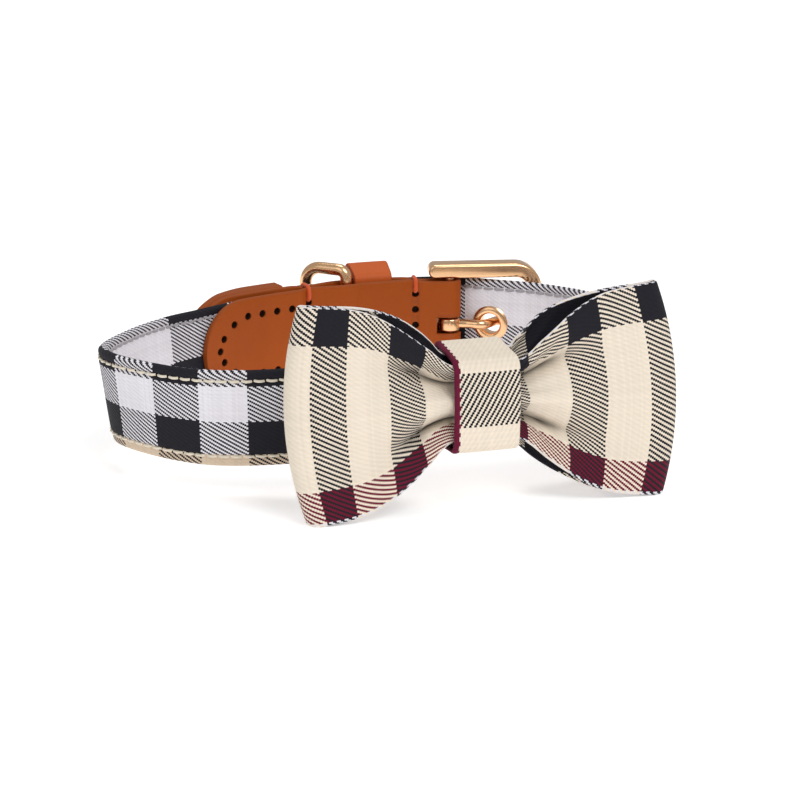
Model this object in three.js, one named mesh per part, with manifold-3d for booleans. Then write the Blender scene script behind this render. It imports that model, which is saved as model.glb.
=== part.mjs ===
// Pet bow tie collar: a padded cloth band closed by a buckle, with a cloth bow at the front.
// Millimetres, +X along the bow, +Y from the bow to the buckle, +Z up, standing on z = 0.

import * as THREE from 'three';
import { mergeVertices } from 'three/addons/utils/BufferGeometryUtils.js';
import Module from 'manifold-3d';

// Running clearances
const gap = 0.3;            // between neighbouring pieces
const pinchGap = 0.3;       // half the space left inside the chape at its stitch lines

// Band
const bandHeight = 25;
const bandThick = 3;
const loopWidth = 140;      // mid-line, left bend to right bend
const loopDepth = 98.7;     // mid-line, knot to the back of the loop
const bandInKnot = 0.91;    // the knot squeezes the band to this share of its height
const straightInKnot = 0.56; // the band runs straight this share of the knot's width each way

// Buckle
const barRadius = 1.3;
const railWidth = 4;
const railClear = 0.75;     // between the band's edge and a rail
const frameLength = 32;
const frameDepth = 6.5;
const frameInside = 1.8;    // how far the frame reaches inwards of the heel bar
const heelInset = 6;        // heel bar to the ends of the rails
const cornerRadius = 7.5;
const frameBevel = 0.9;
const barTurn = 12;         // degrees, heading of the loop at the heel bar
const prongRadius = 1.3;
const prongEye = 1.4;       // wall of the prong's eye round the heel bar
const prongWidth = 3.6;

// Leather
const leather = 1.6;
const chapeMargin = 1;      // the leather stands this far past each edge of the band
const chapeLength = 78;     // heel bar to the rounded tip
const chapeNeck = 0.25;     // the fold's height past the band's edge, inside the rails
const slotClear = 0.6;      // beside the prong in the chape's slot
const stitchNear = 10;      // stitch lines, from the heel bar
const stitchFar = 42;
const bandStart = 45.5;     // end of the band between the chape's layers, from the heel bar
const seatRadius = 105;     // plan radius of the loop along the chape

const keeperWidth = 11;
const keeperLeather = 1.6;
const keeperFromBar = 16.5;
const keeperRiseTop = 2.3;  // the keeper's outer side stands higher than its inner side
const keeperRiseFoot = 1.3;

const tipLeather = 1.2;
const tipFromBar = 47;      // start of the leather tip on the free end, from the heel bar
const tipLength = 31;
const tipPocket = 9;        // depth of the pocket that holds the band's end

// D-ring
const wire = 3.4;
const dReach = 13.5;        // bar to far side, centre to centre
const dSlack = 1;           // above and below the chape
const dBow = 1.2;           // how far the far side bows out
const dFromKeeper = 0.6;

// Eyelets
const eyeletCount = 5;
const eyeletPitch = 20;
const eyeletInUse = 15.2;   // from the heel bar, on the prong's side
const eyeletRadius = 5.2;
const eyeletBore = 2.9;
const eyeletWall = 0.5;
const eyeletFlange = 0.6;

// Bow and knot
const bowWidth = 98.5;
const bowHeight = 52;
const bowWall = 1.3;
const bowPuff = 5;          // half the opening between the front and back of a wing
const wingForward = 4.5;    // the wings' ends stand this far in front of the pinch
const lipsForward = 0.6;    // share of the closing by which the lips meet nearer the front
const bowLean = 7.7;        // degrees, the wings' tops lean back
const frontPleat = 2.6;
const backPleat = 1.2;
const knotWidth = 16.5;
const knotWall = 1.3;
const knotFront = 20.8;     // height inside the knot's front face
const knotDrop = 0.7;       // the knot's middle below the bow's

// Worked-out sizes
const buckleHeight = bandHeight + 2 * (railClear + railWidth);
const backMid = buckleHeight / 2;
const bowMid = bowHeight / 2;
const knotMid = bowMid - knotDrop;
const chapeHeight = bandHeight + 2 * chapeMargin;
const dFromBar = keeperFromBar + keeperWidth + dFromKeeper + wire / 2;
const radians = THREE.MathUtils.degToRad;

// Free run of the band, from the chape round the left bend, the knot and the right bend.
// x and y are shares of the loop's width and depth from the knot, lift is the share of the
// rise from the buckle's height to the knot's, and lean is the outward tilt in degrees.
const freeRun = [
  { x: -0.418, y: 0.779, lift: 0.05, lean: 5 },
  { x: -0.506, y: 0.649, lift: 0.12, lean: 7 },
  { x: -0.574, y: 0.488, lift: 0.18, lean: 8 },
  { x: -0.546, y: 0.329, lift: 0.26, lean: 6 },
  { x: -0.440, y: 0.178, lift: 0.23, lean: 3.5 },
  { x: -0.282, y: 0.074, lift: 0.44, lean: 4 },
  { x: -0.148, y: 0.020, lift: 0.78, lean: 3 },
  { x: 0.148, y: 0.012, lift: 0.78, lean: 3, beyondKnot: true },
  { x: 0.286, y: 0.066, lift: 0.45, lean: 6 },
  { x: 0.395, y: 0.198, lift: 0.30, lean: 7 },
  { x: 0.432, y: 0.360, lift: 0.22, lean: 7 },
  { x: 0.431, y: 0.512, lift: 0.16, lean: 6 },
  { x: 0.424, y: 0.638, lift: 0.10, lean: 4 },
  { x: 0.400, y: 0.750, lift: 0.05, lean: 2 },
];

// Wing from the pinch outwards. out is a share of half the bow's width, open goes from the
// pinched thickness to the full puff, front and back are shares of half the bow's height,
// pleat is the share of the folds' depth that is left, and lips is how far the wing's top
// and bottom edges have closed.
const wingRows = [
  { out: 0, open: 0, front: 0, back: 0, pleat: 1, lips: 0 },
  { out: 0.09, open: 0, front: 0, back: 0, pleat: 1, lips: 0 },
  { out: 0.175, open: 0.02, front: 0.02, back: 0.06, pleat: 1, lips: 0 },
  { out: 0.235, open: 0.12, front: 0.12, back: 0.25, pleat: 0.95, lips: 0 },
  { out: 0.30, open: 0.30, front: 0.28, back: 0.42, pleat: 0.85, lips: 0.05 },
  { out: 0.38, open: 0.55, front: 0.45, back: 0.58, pleat: 0.65, lips: 0.2 },
  { out: 0.47, open: 0.80, front: 0.62, back: 0.71, pleat: 0.42, lips: 0.5 },
  { out: 0.57, open: 0.95, front: 0.77, back: 0.82, pleat: 0.22, lips: 0.8 },
  { out: 0.67, open: 1, front: 0.88, back: 0.90, pleat: 0.10, lips: 0.95 },
  { out: 0.78, open: 0.90, front: 0.945, back: 0.95, pleat: 0.04, lips: 1 },
  { out: 0.88, open: 0.68, front: 0.98, back: 0.98, pleat: 0, lips: 1 },
  { out: 0.955, open: 0.34, front: 1, back: 1, pleat: 0, lips: 1 },
  { out: 0.99, open: -0.35, front: 1, back: 1, pleat: 0, lips: 1 },
];
const wingSteps = 14;       // steps up a wing
const cornerPull = 0.085;   // corners stand this share further in than mid-height

// Materials
const cloth = new THREE.MeshStandardMaterial({ color: 0x6f6c72, roughness: 0.9, metalness: 0 });
const bowCloth = new THREE.MeshStandardMaterial({ color: 0xddd0b6, roughness: 0.88, metalness: 0 });
const tan = new THREE.MeshStandardMaterial({ color: 0xa5521f, roughness: 0.55, metalness: 0 });
const redTan = new THREE.MeshStandardMaterial({ color: 0xb4542a, roughness: 0.5, metalness: 0 });
const gold = new THREE.MeshStandardMaterial({ color: 0xdfc08c, roughness: 0.25, metalness: 1 });

const collar = new THREE.Group();

function addPiece(name, geometry, material) {
  const mesh = new THREE.Mesh(geometry, material);
  mesh.name = name;
  collar.add(mesh);
  return mesh;
}

// Closed body from rings of points. A loop joins its last ring to its first one.
function skin(rings, loop = false) {
  const sides = rings[0].length;
  const positions = rings.flat().flatMap((p) => [p.x, p.y, p.z]);
  const faces = [];
  const spans = loop ? rings.length : rings.length - 1;
  for (let i = 0; i < spans; i++) {
    const here = i * sides;
    const next = ((i + 1) % rings.length) * sides;
    for (let j = 0; j < sides; j++) {
      const k = (j + 1) % sides;
      faces.push([here + j, next + j, next + k], [here + j, next + k, here + k]);
    }
  }
  if (!loop) {
    const last = (rings.length - 1) * sides;
    for (let j = 1; j < sides - 1; j++) {
      faces.push([0, j, j + 1], [last, last + j + 1, last + j]);
    }
  }
  let volume = 0;
  const corner = (n) => new THREE.Vector3().fromArray(positions, 3 * n);
  for (const [a, b, c] of faces) volume += corner(a).dot(corner(b).cross(corner(c)));
  const turned = volume < 0 ? faces.map(([a, b, c]) => [a, c, b]) : faces;
  const geometry = new THREE.BufferGeometry();
  geometry.setAttribute('position', new THREE.Float32BufferAttribute(positions, 3));
  geometry.setIndex(turned.flat());
  geometry.computeVertexNormals();
  return geometry;
}

// Joining and cutting
const wasm = await Module();
wasm.setup();

function solid(geometry) {
  const bare = geometry.clone();
  bare.deleteAttribute('normal');
  bare.deleteAttribute('uv');
  const merged = mergeVertices(bare, 1e-4);
  return new wasm.Manifold(new wasm.Mesh({
    numProp: 3,
    vertProperties: new Float32Array(merged.attributes.position.array),
    triVerts: new Uint32Array(merged.index.array),
  }));
}

function fromSolid(body) {
  const mesh = body.getMesh();
  const geometry = new THREE.BufferGeometry();
  geometry.setAttribute('position', new THREE.Float32BufferAttribute(mesh.vertProperties, 3));
  geometry.setIndex(Array.from(mesh.triVerts));
  geometry.computeVertexNormals();
  return geometry;
}

// Closed outline with round corners, from corners { a, b, r } in order
function roundLoop(corners, arcSteps) {
  const points = [];
  corners.forEach((here, i) => {
    const p = new THREE.Vector2(here.a, here.b);
    const before = corners[(i + corners.length - 1) % corners.length];
    const after = corners[(i + 1) % corners.length];
    const toBefore = new THREE.Vector2(before.a, before.b).sub(p).normalize();
    const toAfter = new THREE.Vector2(after.a, after.b).sub(p).normalize();
    const half = Math.acos(THREE.MathUtils.clamp(toBefore.dot(toAfter), -1, 1)) / 2;
    const middle = toBefore.clone().add(toAfter).normalize();
    const centre = p.clone().addScaledVector(middle, here.r / Math.sin(half));
    const start = p.clone().addScaledVector(toBefore, here.r / Math.tan(half)).sub(centre);
    const turn = start.cross(p.clone().sub(centre)) > 0 ? 1 : -1;
    for (let k = 0; k <= arcSteps; k++) {
      const angle = turn * (Math.PI - 2 * half) * k / arcSteps;
      points.push(start.clone().rotateAround(new THREE.Vector2(), angle).add(centre));
    }
  });
  return points;
}

// Rounded rectangle across a strip: w across its thickness, v along its height
function stripSection(thick, height) {
  const w = thick / 2;
  const v = height / 2;
  const r = Math.min(0.35 * thick, 0.35 * height);
  return [
    [w, -v + r], [w, v - r], [w - r, v], [-w + r, v],
    [-w, v - r], [-w, -v + r], [-w + r, -v], [w - r, -v],
  ];
}

// Ring of points of a strip at a station { point, normal, up, thick, height }
function stripRing({ point, normal, up, thick, height }) {
  return stripSection(thick, height).map(([w, v]) => (
    point.clone().addScaledVector(normal, w).addScaledVector(up, v)));
}

// Seat line: the arc that the chape, keeper and D-ring sit on, starting at the heel bar
const bar = new THREE.Vector2(0.186 * loopWidth, 0.979 * loopDepth);
const barAngle = radians(90 - barTurn);
const seatCentre = bar.clone().sub(
  new THREE.Vector2(Math.cos(barAngle), Math.sin(barAngle)).multiplyScalar(seatRadius));

function seat(along, offset = 0, z = backMid) {
  const angle = barAngle + along / seatRadius;
  const normal = new THREE.Vector3(Math.cos(angle), Math.sin(angle), 0);
  const point = new THREE.Vector3(seatCentre.x, seatCentre.y, z)
    .addScaledVector(normal, seatRadius + offset);
  const tangent = new THREE.Vector3(-normal.y, normal.x, 0);
  return { point, normal, tangent, up: new THREE.Vector3(0, 0, 1) };
}

// Half the space between the chape's layers, along the seat line
const chapeSpace = [
  { at: 0, half: barRadius + gap },
  { at: stitchNear - 3, half: pinchGap + 0.3 },
  { at: stitchNear, half: pinchGap },
  { at: keeperFromBar - gap, half: keeperLeather / 2 + gap },
  { at: keeperFromBar + keeperWidth - 2, half: keeperLeather / 2 + gap },
  { at: dFromBar - wire / 2, half: wire / 2 + gap },
  { at: dFromBar + wire / 2, half: wire / 2 + gap },
  { at: stitchFar, half: pinchGap },
  { at: bandStart - gap, half: bandThick / 2 + gap },
  { at: chapeLength + 1, half: bandThick / 2 + gap },
];

function tableValue(rows, at, key) {
  const next = rows.findIndex((row) => row.at >= at);
  if (next <= 0) return rows.at(next < 0 ? -1 : 0)[key];
  const { at: a0, [key]: k0 } = rows[next - 1];
  const { at: a1, [key]: k1 } = rows[next];
  return k0 + (k1 - k0) * THREE.MathUtils.smoothstep(at, a0, a1);
}

// Rounded tip: height left at a distance from the end of a strip
function tipHeight(fromEnd, height, least) {
  const radius = height / 2;
  if (fromEnd >= radius) return height;
  return Math.max(least, 2 * Math.sqrt(radius ** 2 - (radius - fromEnd) ** 2));
}

// Chape: leather folded round the heel bar, both layers ending in a rounded tip
const chapeLeast = 5;
const foldSteps = 8;
const tipToBand = chapeLength - bandStart;
const tipStops = [0, 0.35, 1.1, 2.4, 4.4, 7.2, 10.5, 13.5];
const chapeStops = [
  ...tipStops.map((d) => chapeLength - d),
  chapeLength - 0.6 * tipToBand, chapeLength - 0.82 * tipToBand,
  bandStart, (bandStart + stitchFar) / 2, stitchFar, stitchFar - 3, stitchFar - 7,
  dFromBar + wire / 2, dFromBar - wire / 2, keeperFromBar + keeperWidth - 2,
  keeperFromBar + keeperWidth / 2, keeperFromBar, (keeperFromBar + stitchNear) / 2,
  stitchNear, stitchNear - 2, heelInset + 1, 4, 1.5,
];

function chapeTall(along) {
  const neck = bandHeight + 2 * chapeNeck;
  const shoulder = THREE.MathUtils.smoothstep(along, heelInset + 1, heelInset + 7);
  const full = THREE.MathUtils.lerp(neck, chapeHeight, shoulder);
  return Math.min(full, tipHeight(chapeLength - along, chapeHeight, chapeLeast));
}

function chapeLayer(along, side) {
  const offset = side * (tableValue(chapeSpace, along, 'half') + leather / 2);
  const place = seat(along, offset);
  place.normal.multiplyScalar(-side);
  return stripRing({ ...place, thick: leather, height: chapeTall(along) });
}

function chapeFold(turn) {
  const { point, normal, tangent, up } = seat(0);
  const out = normal.clone().multiplyScalar(-Math.cos(turn))
    .addScaledVector(tangent, -Math.sin(turn));
  point.addScaledVector(out, barRadius + gap + leather / 2);
  return stripRing({ point, normal: out.negate(), up, thick: leather, height: chapeTall(0) });
}

const chapeRings = [
  ...chapeStops.map((along) => chapeLayer(along, -1)),
  ...Array.from({ length: foldSteps + 1 }, (_, k) => chapeFold(Math.PI * k / foldSteps)),
  ...chapeStops.toReversed().map((along) => chapeLayer(along, 1)),
];
const heel = seat(0);
const slotHeight = prongWidth + 2 * slotClear;
const slotDepth = barRadius + 2 * gap + leather;
const slot = new THREE.BoxGeometry(2.4 * slotDepth, 2.6 * slotDepth, slotHeight);
slot.rotateZ(barAngle - Math.PI / 2);
slot.translate(heel.point.x, heel.point.y, heel.point.z);
const chape = solid(skin(chapeRings)).subtract(solid(slot));
addPiece('chape', fromSolid(chape), tan);

// Band: its mid-line runs inside the chape, round the free run, under the buckle's end bar,
// over the heel bar and along the outside of the chape into the leather tip
const strapOffset = wire / 2 + gap + leather + gap + bandThick / 2;
const overBar = barRadius + gap + leather + gap + bandThick / 2;
const tipThick = bandThick + 2 * (gap + tipLeather);
const tipOffset = bandThick / 2 + gap + leather + gap + tipThick / 2;
const endBarFromHeel = frameLength - heelInset - railWidth / 2;
const underEndBar = frameInside + gap + bandThick / 2;

function besideFrame(right, out) {
  const { point, normal, tangent } = seat(0);
  return point.addScaledVector(tangent, -right).addScaledVector(normal, out);
}

const route = [];
function addKnot(point, { lean = 0, squeeze = 0, name } = {}) {
  route.push({ point, lean, squeeze, name });
}
for (const share of [0, 0.25, 0.5, 0.75, 1]) {
  addKnot(seat(THREE.MathUtils.lerp(bandStart, chapeLength + 2, share)).point);
}
for (const row of freeRun) {
  const z = THREE.MathUtils.lerp(backMid, knotMid, row.lift);
  if (row.beyondKnot) {
    for (const share of [-straightInKnot, 0, straightInKnot]) {
      addKnot(new THREE.Vector3(share * knotWidth, 0, knotMid), { squeeze: 1 });
    }
  }
  addKnot(new THREE.Vector3(row.x * loopWidth, row.y * loopDepth, z), row);
}
// Through the buckle: right of the heel bar and out from the seat line
const comingIn = { right: endBarFromHeel + 2.5, out: -underEndBar - 3.6 };
const pastEndBar = { right: endBarFromHeel - 2.2, out: -underEndBar - 0.5 };
const crossing = { right: endBarFromHeel / 2 - 1, out: (overBar - underEndBar) / 2 };
const nearHeelBar = { right: 3, out: overBar - 0.3 };
for (const { right, out } of [comingIn, pastEndBar, crossing, nearHeelBar]) {
  addKnot(besideFrame(right, out));
}
// Along the outside of the chape, from the heel bar to the leather tip
const overHeelBar = { along: 2, out: overBar + 0.1 };
const besideChape = [10, 22, 32];
const intoTip = { along: tipFromBar - 4, out: tipOffset - 0.4 };
addKnot(seat(overHeelBar.along, overHeelBar.out).point, { name: 'bar' });
for (const along of besideChape) addKnot(seat(along, strapOffset).point);
addKnot(seat(intoTip.along, intoTip.out).point);
addKnot(seat(tipFromBar + 1, tipOffset).point);
addKnot(seat(tipFromBar + tipPocket - gap, tipOffset).point);

const midLine = new THREE.CatmullRomCurve3(route.map((knot) => knot.point), false, 'centripetal');
const stepsPerKnot = 3;

function bandStation(t) {
  const point = midLine.getPoint(t);
  const heading = midLine.getTangent(t).setZ(0).normalize();
  const flat = new THREE.Vector3(heading.y, -heading.x, 0);
  const index = t * (route.length - 1);
  const i = Math.min(Math.floor(index), route.length - 2);
  const share = index - i;
  const lean = radians(THREE.MathUtils.lerp(route[i].lean, route[i + 1].lean, share));
  const squeeze = THREE.MathUtils.lerp(route[i].squeeze, route[i + 1].squeeze, share);
  const ease = squeeze * squeeze * (3 - 2 * squeeze);
  const height = bandHeight * THREE.MathUtils.lerp(1, bandInKnot, ease);
  const normal = flat.clone().multiplyScalar(Math.cos(lean));
  normal.z = -Math.sin(lean);
  const up = flat.clone().multiplyScalar(Math.sin(lean));
  up.z = Math.cos(lean);
  return { point, normal, up, tangent: heading, thick: bandThick, height };
}

// Place on the band at a distance from the heel bar, against the free end's direction
const barShare = route.findIndex((knot) => knot.name === 'bar') / (route.length - 1);
function bandBefore(distance) {
  let left = distance;
  let t = barShare;
  let here = midLine.getPoint(t);
  const step = (distance < 0 ? -1 : 1) * 0.0005;
  while (left * step > 0) {
    t -= step;
    const next = midLine.getPoint(t);
    left -= Math.sign(step) * next.distanceTo(here);
    here = next;
  }
  return bandStation(t);
}
const stationCount = (route.length - 1) * stepsPerKnot;
const bandRings = Array.from({ length: stationCount + 1 },
  (_, k) => stripRing(bandStation(k / stationCount)));
let band = solid(skin(bandRings));

// Eyelets: a barrel with a flange on each face, pressed a little into the cloth
const eyeletPress = 0.25;   // each flange's seat lies this far below the band's face
const flangeIn = bandThick / 2 - eyeletPress + gap;
const flangeOut = flangeIn + eyeletFlange;
const barrel = eyeletBore + eyeletWall;
const eyeletProfile = [
  [eyeletBore, -flangeOut + 0.2], [eyeletBore + 0.3, -flangeOut], [eyeletRadius - 0.3, -flangeOut],
  [eyeletRadius, -flangeIn], [barrel, -flangeIn], [barrel, flangeIn], [eyeletRadius, flangeIn],
  [eyeletRadius - 0.3, flangeOut], [eyeletBore + 0.3, flangeOut], [eyeletBore, flangeOut - 0.2],
  [eyeletBore, -flangeOut + 0.2],
].map(([r, y]) => new THREE.Vector2(r, y));
const roundSides = 12;

function placeAt(geometry, { point, normal, up }) {
  const across = new THREE.Vector3().crossVectors(normal, up);
  geometry.applyMatrix4(new THREE.Matrix4().makeBasis(across, normal, up).setPosition(point));
  return geometry;
}

for (let k = 0; k < eyeletCount; k++) {
  const place = bandBefore(eyeletInUse + (k - 1) * eyeletPitch);
  const hole = new THREE.CylinderGeometry(barrel + gap, barrel + gap, 3 * bandThick, roundSides);
  band = band.subtract(solid(placeAt(hole, place)));
  for (const side of [-1, 1]) {
    const press = new THREE.CylinderGeometry(eyeletRadius + gap, eyeletRadius + gap, bandThick,
      roundSides);
    press.translate(0, side * (bandThick - eyeletPress), 0);
    band = band.subtract(solid(placeAt(press, place)));
  }
  const eyelet = new THREE.LatheGeometry(eyeletProfile, roundSides);
  addPiece(`eyelet_${k + 1}`, fromSolid(solid(placeAt(eyelet, place))), gold);
}
addPiece('band', fromSolid(band), cloth);

// Leather tip: two layers sewn round the end of the band, closed past it
const tipClosed = 2 * tipLeather + 0.4;
const tipRings = [];
const tipEnd = tipFromBar + tipLength;
const tipStations = [tipFromBar, tipFromBar + 4, tipFromBar + tipPocket,
  tipFromBar + tipPocket + 2.5, tipFromBar + tipPocket + 5,
  ...tipStops.toReversed().map((d) => tipEnd - d)];
for (const along of tipStations) {
  const closing = THREE.MathUtils.smoothstep(along, tipFromBar + tipPocket,
    tipFromBar + tipPocket + 6);
  const thick = THREE.MathUtils.lerp(tipThick, tipClosed, closing);
  const place = seat(along, tipOffset - (tipThick - thick) / 2);
  const height = Math.min(chapeHeight, tipHeight(tipEnd - along, chapeHeight, chapeLeast));
  tipRings.push(stripRing({ ...place, thick, height }));
}
const pocketRings = [-4, 0, 3, 6, tipPocket].map((deep) => (
  stripRing({ ...seat(tipFromBar + deep, tipOffset), thick: bandThick + 2 * gap,
    height: bandHeight + 2 * gap })));
addPiece('strap_tip', fromSolid(solid(skin(tipRings)).subtract(solid(skin(pocketRings)))), tan);

// Keeper: a leather loop held between the chape's layers, round the free end of the band
const keeperInHalf = chapeHeight / 2 + gap;
const keeperOut = strapOffset + bandThick / 2 + gap;
function keeperLoop(grow) {
  const inner = keeperLeather / 2;
  const foot = backMid - keeperInHalf - grow;
  const top = backMid + keeperInHalf + grow;
  return roundLoop([
    { a: inner - grow, b: foot, r: 0.8 + grow },
    { a: keeperOut + grow, b: foot - keeperRiseFoot, r: 1.6 + grow },
    { a: keeperOut + grow, b: top + keeperRiseTop, r: 1.6 + grow },
    { a: inner - grow, b: top, r: 0.8 + grow },
  ], 3);
}
const keeperSpan = [0, 0.04, 0.25, 0.5, 0.75, 0.96, 1];
function keeperTube(grow, reach) {
  return skin(keeperSpan.map((share) => {
    const along = THREE.MathUtils.lerp(keeperFromBar - reach,
      keeperFromBar + keeperWidth + reach, share);
    return keeperLoop(grow).map(({ x, y }) => seat(along, x, y).point);
  }));
}
const keeper = solid(keeperTube(keeperLeather, 0)).subtract(solid(keeperTube(0, 1)));
addPiece('keeper', fromSolid(keeper), redTan);

// D-ring: its straight bar lies between the chape's layers, its far side on the free end
const dHalf = chapeHeight / 2 + dSlack + wire / 2;
const dMid = backMid - chapeHeight / 2 - gap + dHalf - wire / 2;
const clearRadius = seatRadius + tipOffset + bandThick / 2 + gap + wire / 2;
const dSwing = Math.asin((clearRadius ** 2 - seatRadius ** 2 - dReach ** 2)
  / (2 * seatRadius * dReach));
const dPlace = seat(dFromBar);
const dOut = dPlace.tangent.clone().multiplyScalar(Math.cos(dSwing))
  .addScaledVector(dPlace.normal, Math.sin(dSwing));
const dSide = new THREE.Vector3(dOut.y, -dOut.x, 0);
const dBarRadius = 2.2;
const dCornerRadius = 4.6;
const dFarRadius = 12;
const dLine = roundLoop([
  { a: 0, b: -dHalf, r: dBarRadius }, { a: dReach - dBow, b: -dHalf, r: dCornerRadius },
  { a: dReach, b: 0, r: dFarRadius }, { a: dReach - dBow, b: dHalf, r: dCornerRadius },
  { a: 0, b: dHalf, r: dBarRadius },
], 4);
const wireSides = 12;
const dRings = dLine.map((here, i) => {
  const before = dLine[(i + dLine.length - 1) % dLine.length];
  const after = dLine[(i + 1) % dLine.length];
  const heading = after.clone().sub(before).normalize();
  const across = dOut.clone().multiplyScalar(heading.y);
  across.z = -heading.x;
  return Array.from({ length: wireSides }, (_, k) => {
    const angle = 2 * Math.PI * k / wireSides;
    return new THREE.Vector3(dPlace.point.x, dPlace.point.y, dMid + here.y)
      .addScaledVector(dOut, here.x)
      .addScaledVector(across, wire / 2 * Math.cos(angle))
      .addScaledVector(dSide, wire / 2 * Math.sin(angle));
  });
});
addPiece('d_ring', skin(dRings, true), gold);

// Buckle frame: two rails and an end bar in one cast piece, with a heel bar between the rails
const frameShape = new THREE.Shape();
const halfFrame = buckleHeight / 2 - frameBevel;
const openHalf = bandHeight / 2 + railClear;
const leftEnd = -heelInset + frameBevel;
const rightEnd = frameLength - heelInset - frameBevel;
const bendOut = cornerRadius - frameBevel;
const bendIn = Math.max(cornerRadius - railWidth, 0.5);
const innerRight = frameLength - heelInset - railWidth;
const railEnd = (railWidth - 2 * frameBevel) / 2;
frameShape.moveTo(leftEnd + railEnd, -halfFrame);
frameShape.absarc(rightEnd - bendOut, -halfFrame + bendOut, bendOut, -Math.PI / 2, 0, false);
frameShape.absarc(rightEnd - bendOut, halfFrame - bendOut, bendOut, 0, Math.PI / 2, false);
frameShape.absarc(leftEnd + railEnd, halfFrame - railEnd, railEnd, Math.PI / 2, 3 * Math.PI / 2,
  false);
frameShape.absarc(innerRight - bendIn, openHalf - bendIn, bendIn + frameBevel, Math.PI / 2, 0,
  true);
frameShape.absarc(innerRight - bendIn, -openHalf + bendIn, bendIn + frameBevel, 0, -Math.PI / 2,
  true);
frameShape.absarc(leftEnd + railEnd, -halfFrame + railEnd, railEnd, Math.PI / 2,
  3 * Math.PI / 2, false);
const frameBody = new THREE.ExtrudeGeometry(frameShape, {
  depth: frameDepth - 2 * frameBevel, bevelSize: frameBevel, bevelThickness: frameBevel,
  bevelSegments: 1, curveSegments: 5,
});
frameBody.translate(0, 0, frameBevel + frameInside - frameDepth);
const heelBar = new THREE.CylinderGeometry(barRadius, barRadius,
  2 * (openHalf + railWidth / 2), 12);
const onFrame = new THREE.Matrix4().makeBasis(
  heel.tangent.clone().negate(), heel.up, heel.normal.clone().negate());
onFrame.setPosition(heel.point);
const frameGeometry = fromSolid(solid(frameBody).add(solid(heelBar)));
addPiece('buckle_frame', frameGeometry.applyMatrix4(onFrame), gold);

// Prong: an eye round the heel bar and a rod through the eyelet in use to the end bar
const inUse = bandBefore(eyeletInUse);
function besideEyelet(right, out) {
  return inUse.point.clone().addScaledVector(inUse.tangent, -right)
    .addScaledVector(inUse.normal, out);
}
const prongClear = flangeOut + gap + prongRadius;
const overEndBar = frameDepth - frameInside + gap + prongRadius;
const prongLine = new THREE.CatmullRomCurve3([
  besideFrame(barRadius + gap + prongEye / 2, -0.2),
  besideEyelet(-6, -prongClear),
  besideEyelet(-2.4, -prongClear + 0.1),
  besideEyelet(-0.8, -flangeOut + 0.2),
  besideEyelet(0.7, flangeOut - 0.2),
  besideEyelet(2.6, prongClear),
  besideFrame(endBarFromHeel - 3, overEndBar),
  besideFrame(endBarFromHeel, overEndBar),
  besideFrame(endBarFromHeel + railWidth / 2 + 0.6, overEndBar - 0.1),
], false, 'centripetal');
const prongSection = new THREE.Shape().absarc(0, 0, prongRadius, 0, 2 * Math.PI, false);
const rod = new THREE.ExtrudeGeometry(prongSection, {
  extrudePath: prongLine, steps: 34, curveSegments: 5, bevelEnabled: false,
});
const eyeIn = barRadius + gap;
const eyeOut = eyeIn + prongEye;
const eyeHalf = prongWidth / 2;
const eye = new THREE.LatheGeometry([
  [eyeIn, -eyeHalf], [eyeOut - 0.4, -eyeHalf], [eyeOut, -eyeHalf + 0.4], [eyeOut, eyeHalf - 0.4],
  [eyeOut - 0.4, eyeHalf], [eyeIn, eyeHalf], [eyeIn, -eyeHalf],
].map(([r, y]) => new THREE.Vector2(r, y)), roundSides);
eye.rotateX(Math.PI / 2);
eye.translate(heel.point.x, heel.point.y, heel.point.z);
const eyeBore = new THREE.CylinderGeometry(eyeIn, eyeIn, 2 * prongWidth, roundSides);
eyeBore.rotateX(Math.PI / 2);
eyeBore.translate(heel.point.x, heel.point.y, heel.point.z);
const prong = solid(rod).add(solid(eye)).subtract(solid(eyeBore));
addPiece('buckle_prong', fromSolid(prong), gold);

// Bow: one cloth loop, pinched at the middle, open at the top and bottom of both wings
const backY = -(bandThick / 2 + gap + backPleat + bowWall / 2);
const frontY = backY - (backPleat + bowWall + gap + frontPleat);
const pinchY = (backY + frontY) / 2;
const pinchHalf = (backY - frontY) / 2;
const lipHalf = bowWall / 2 + gap;
const knotBack = bandHeight * bandInKnot / 2 + 2 * gap;
const pinchFrontHalf = knotFront / 2 - knotDrop - 3 * gap;
const pinchBackHalf = (knotFront / 2 + knotBack) / 2 - knotDrop - 4 * gap;

function bowPoint(side, row, layer, v) {
  const front = layer === 'front';
  const pinched = front ? pinchFrontHalf : pinchBackHalf;
  const half = THREE.MathUtils.lerp(pinched, bowMid, row[layer]);
  const z = bowMid + v * half;
  const fold = row.pleat * (front ? frontPleat : backPleat);
  const wave = fold * Math.cos(2 * Math.PI * v) * (1 - 0.35 * v * v);
  const body = THREE.MathUtils.lerp(pinchHalf, bowPuff, row.open);
  const closing = Math.max(body - lipHalf, 0) * row.lips * Math.abs(v) ** 2.5;
  const open = row.shut ? 0 : body - closing + wave;
  const leanNow = THREE.MathUtils.smoothstep(row.out, 0.15, 0.6) * Math.tan(radians(bowLean));
  const y = pinchY - wingForward * row.out - (row.shut ? 0 : lipsForward * closing)
    + (front ? -open : open) + leanNow * (z - bowMid);
  const x = side * row.out * bowWidth / 2 * (1 - cornerPull * row.out * v * v);
  return new THREE.Vector3(x, y, z);
}

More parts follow.
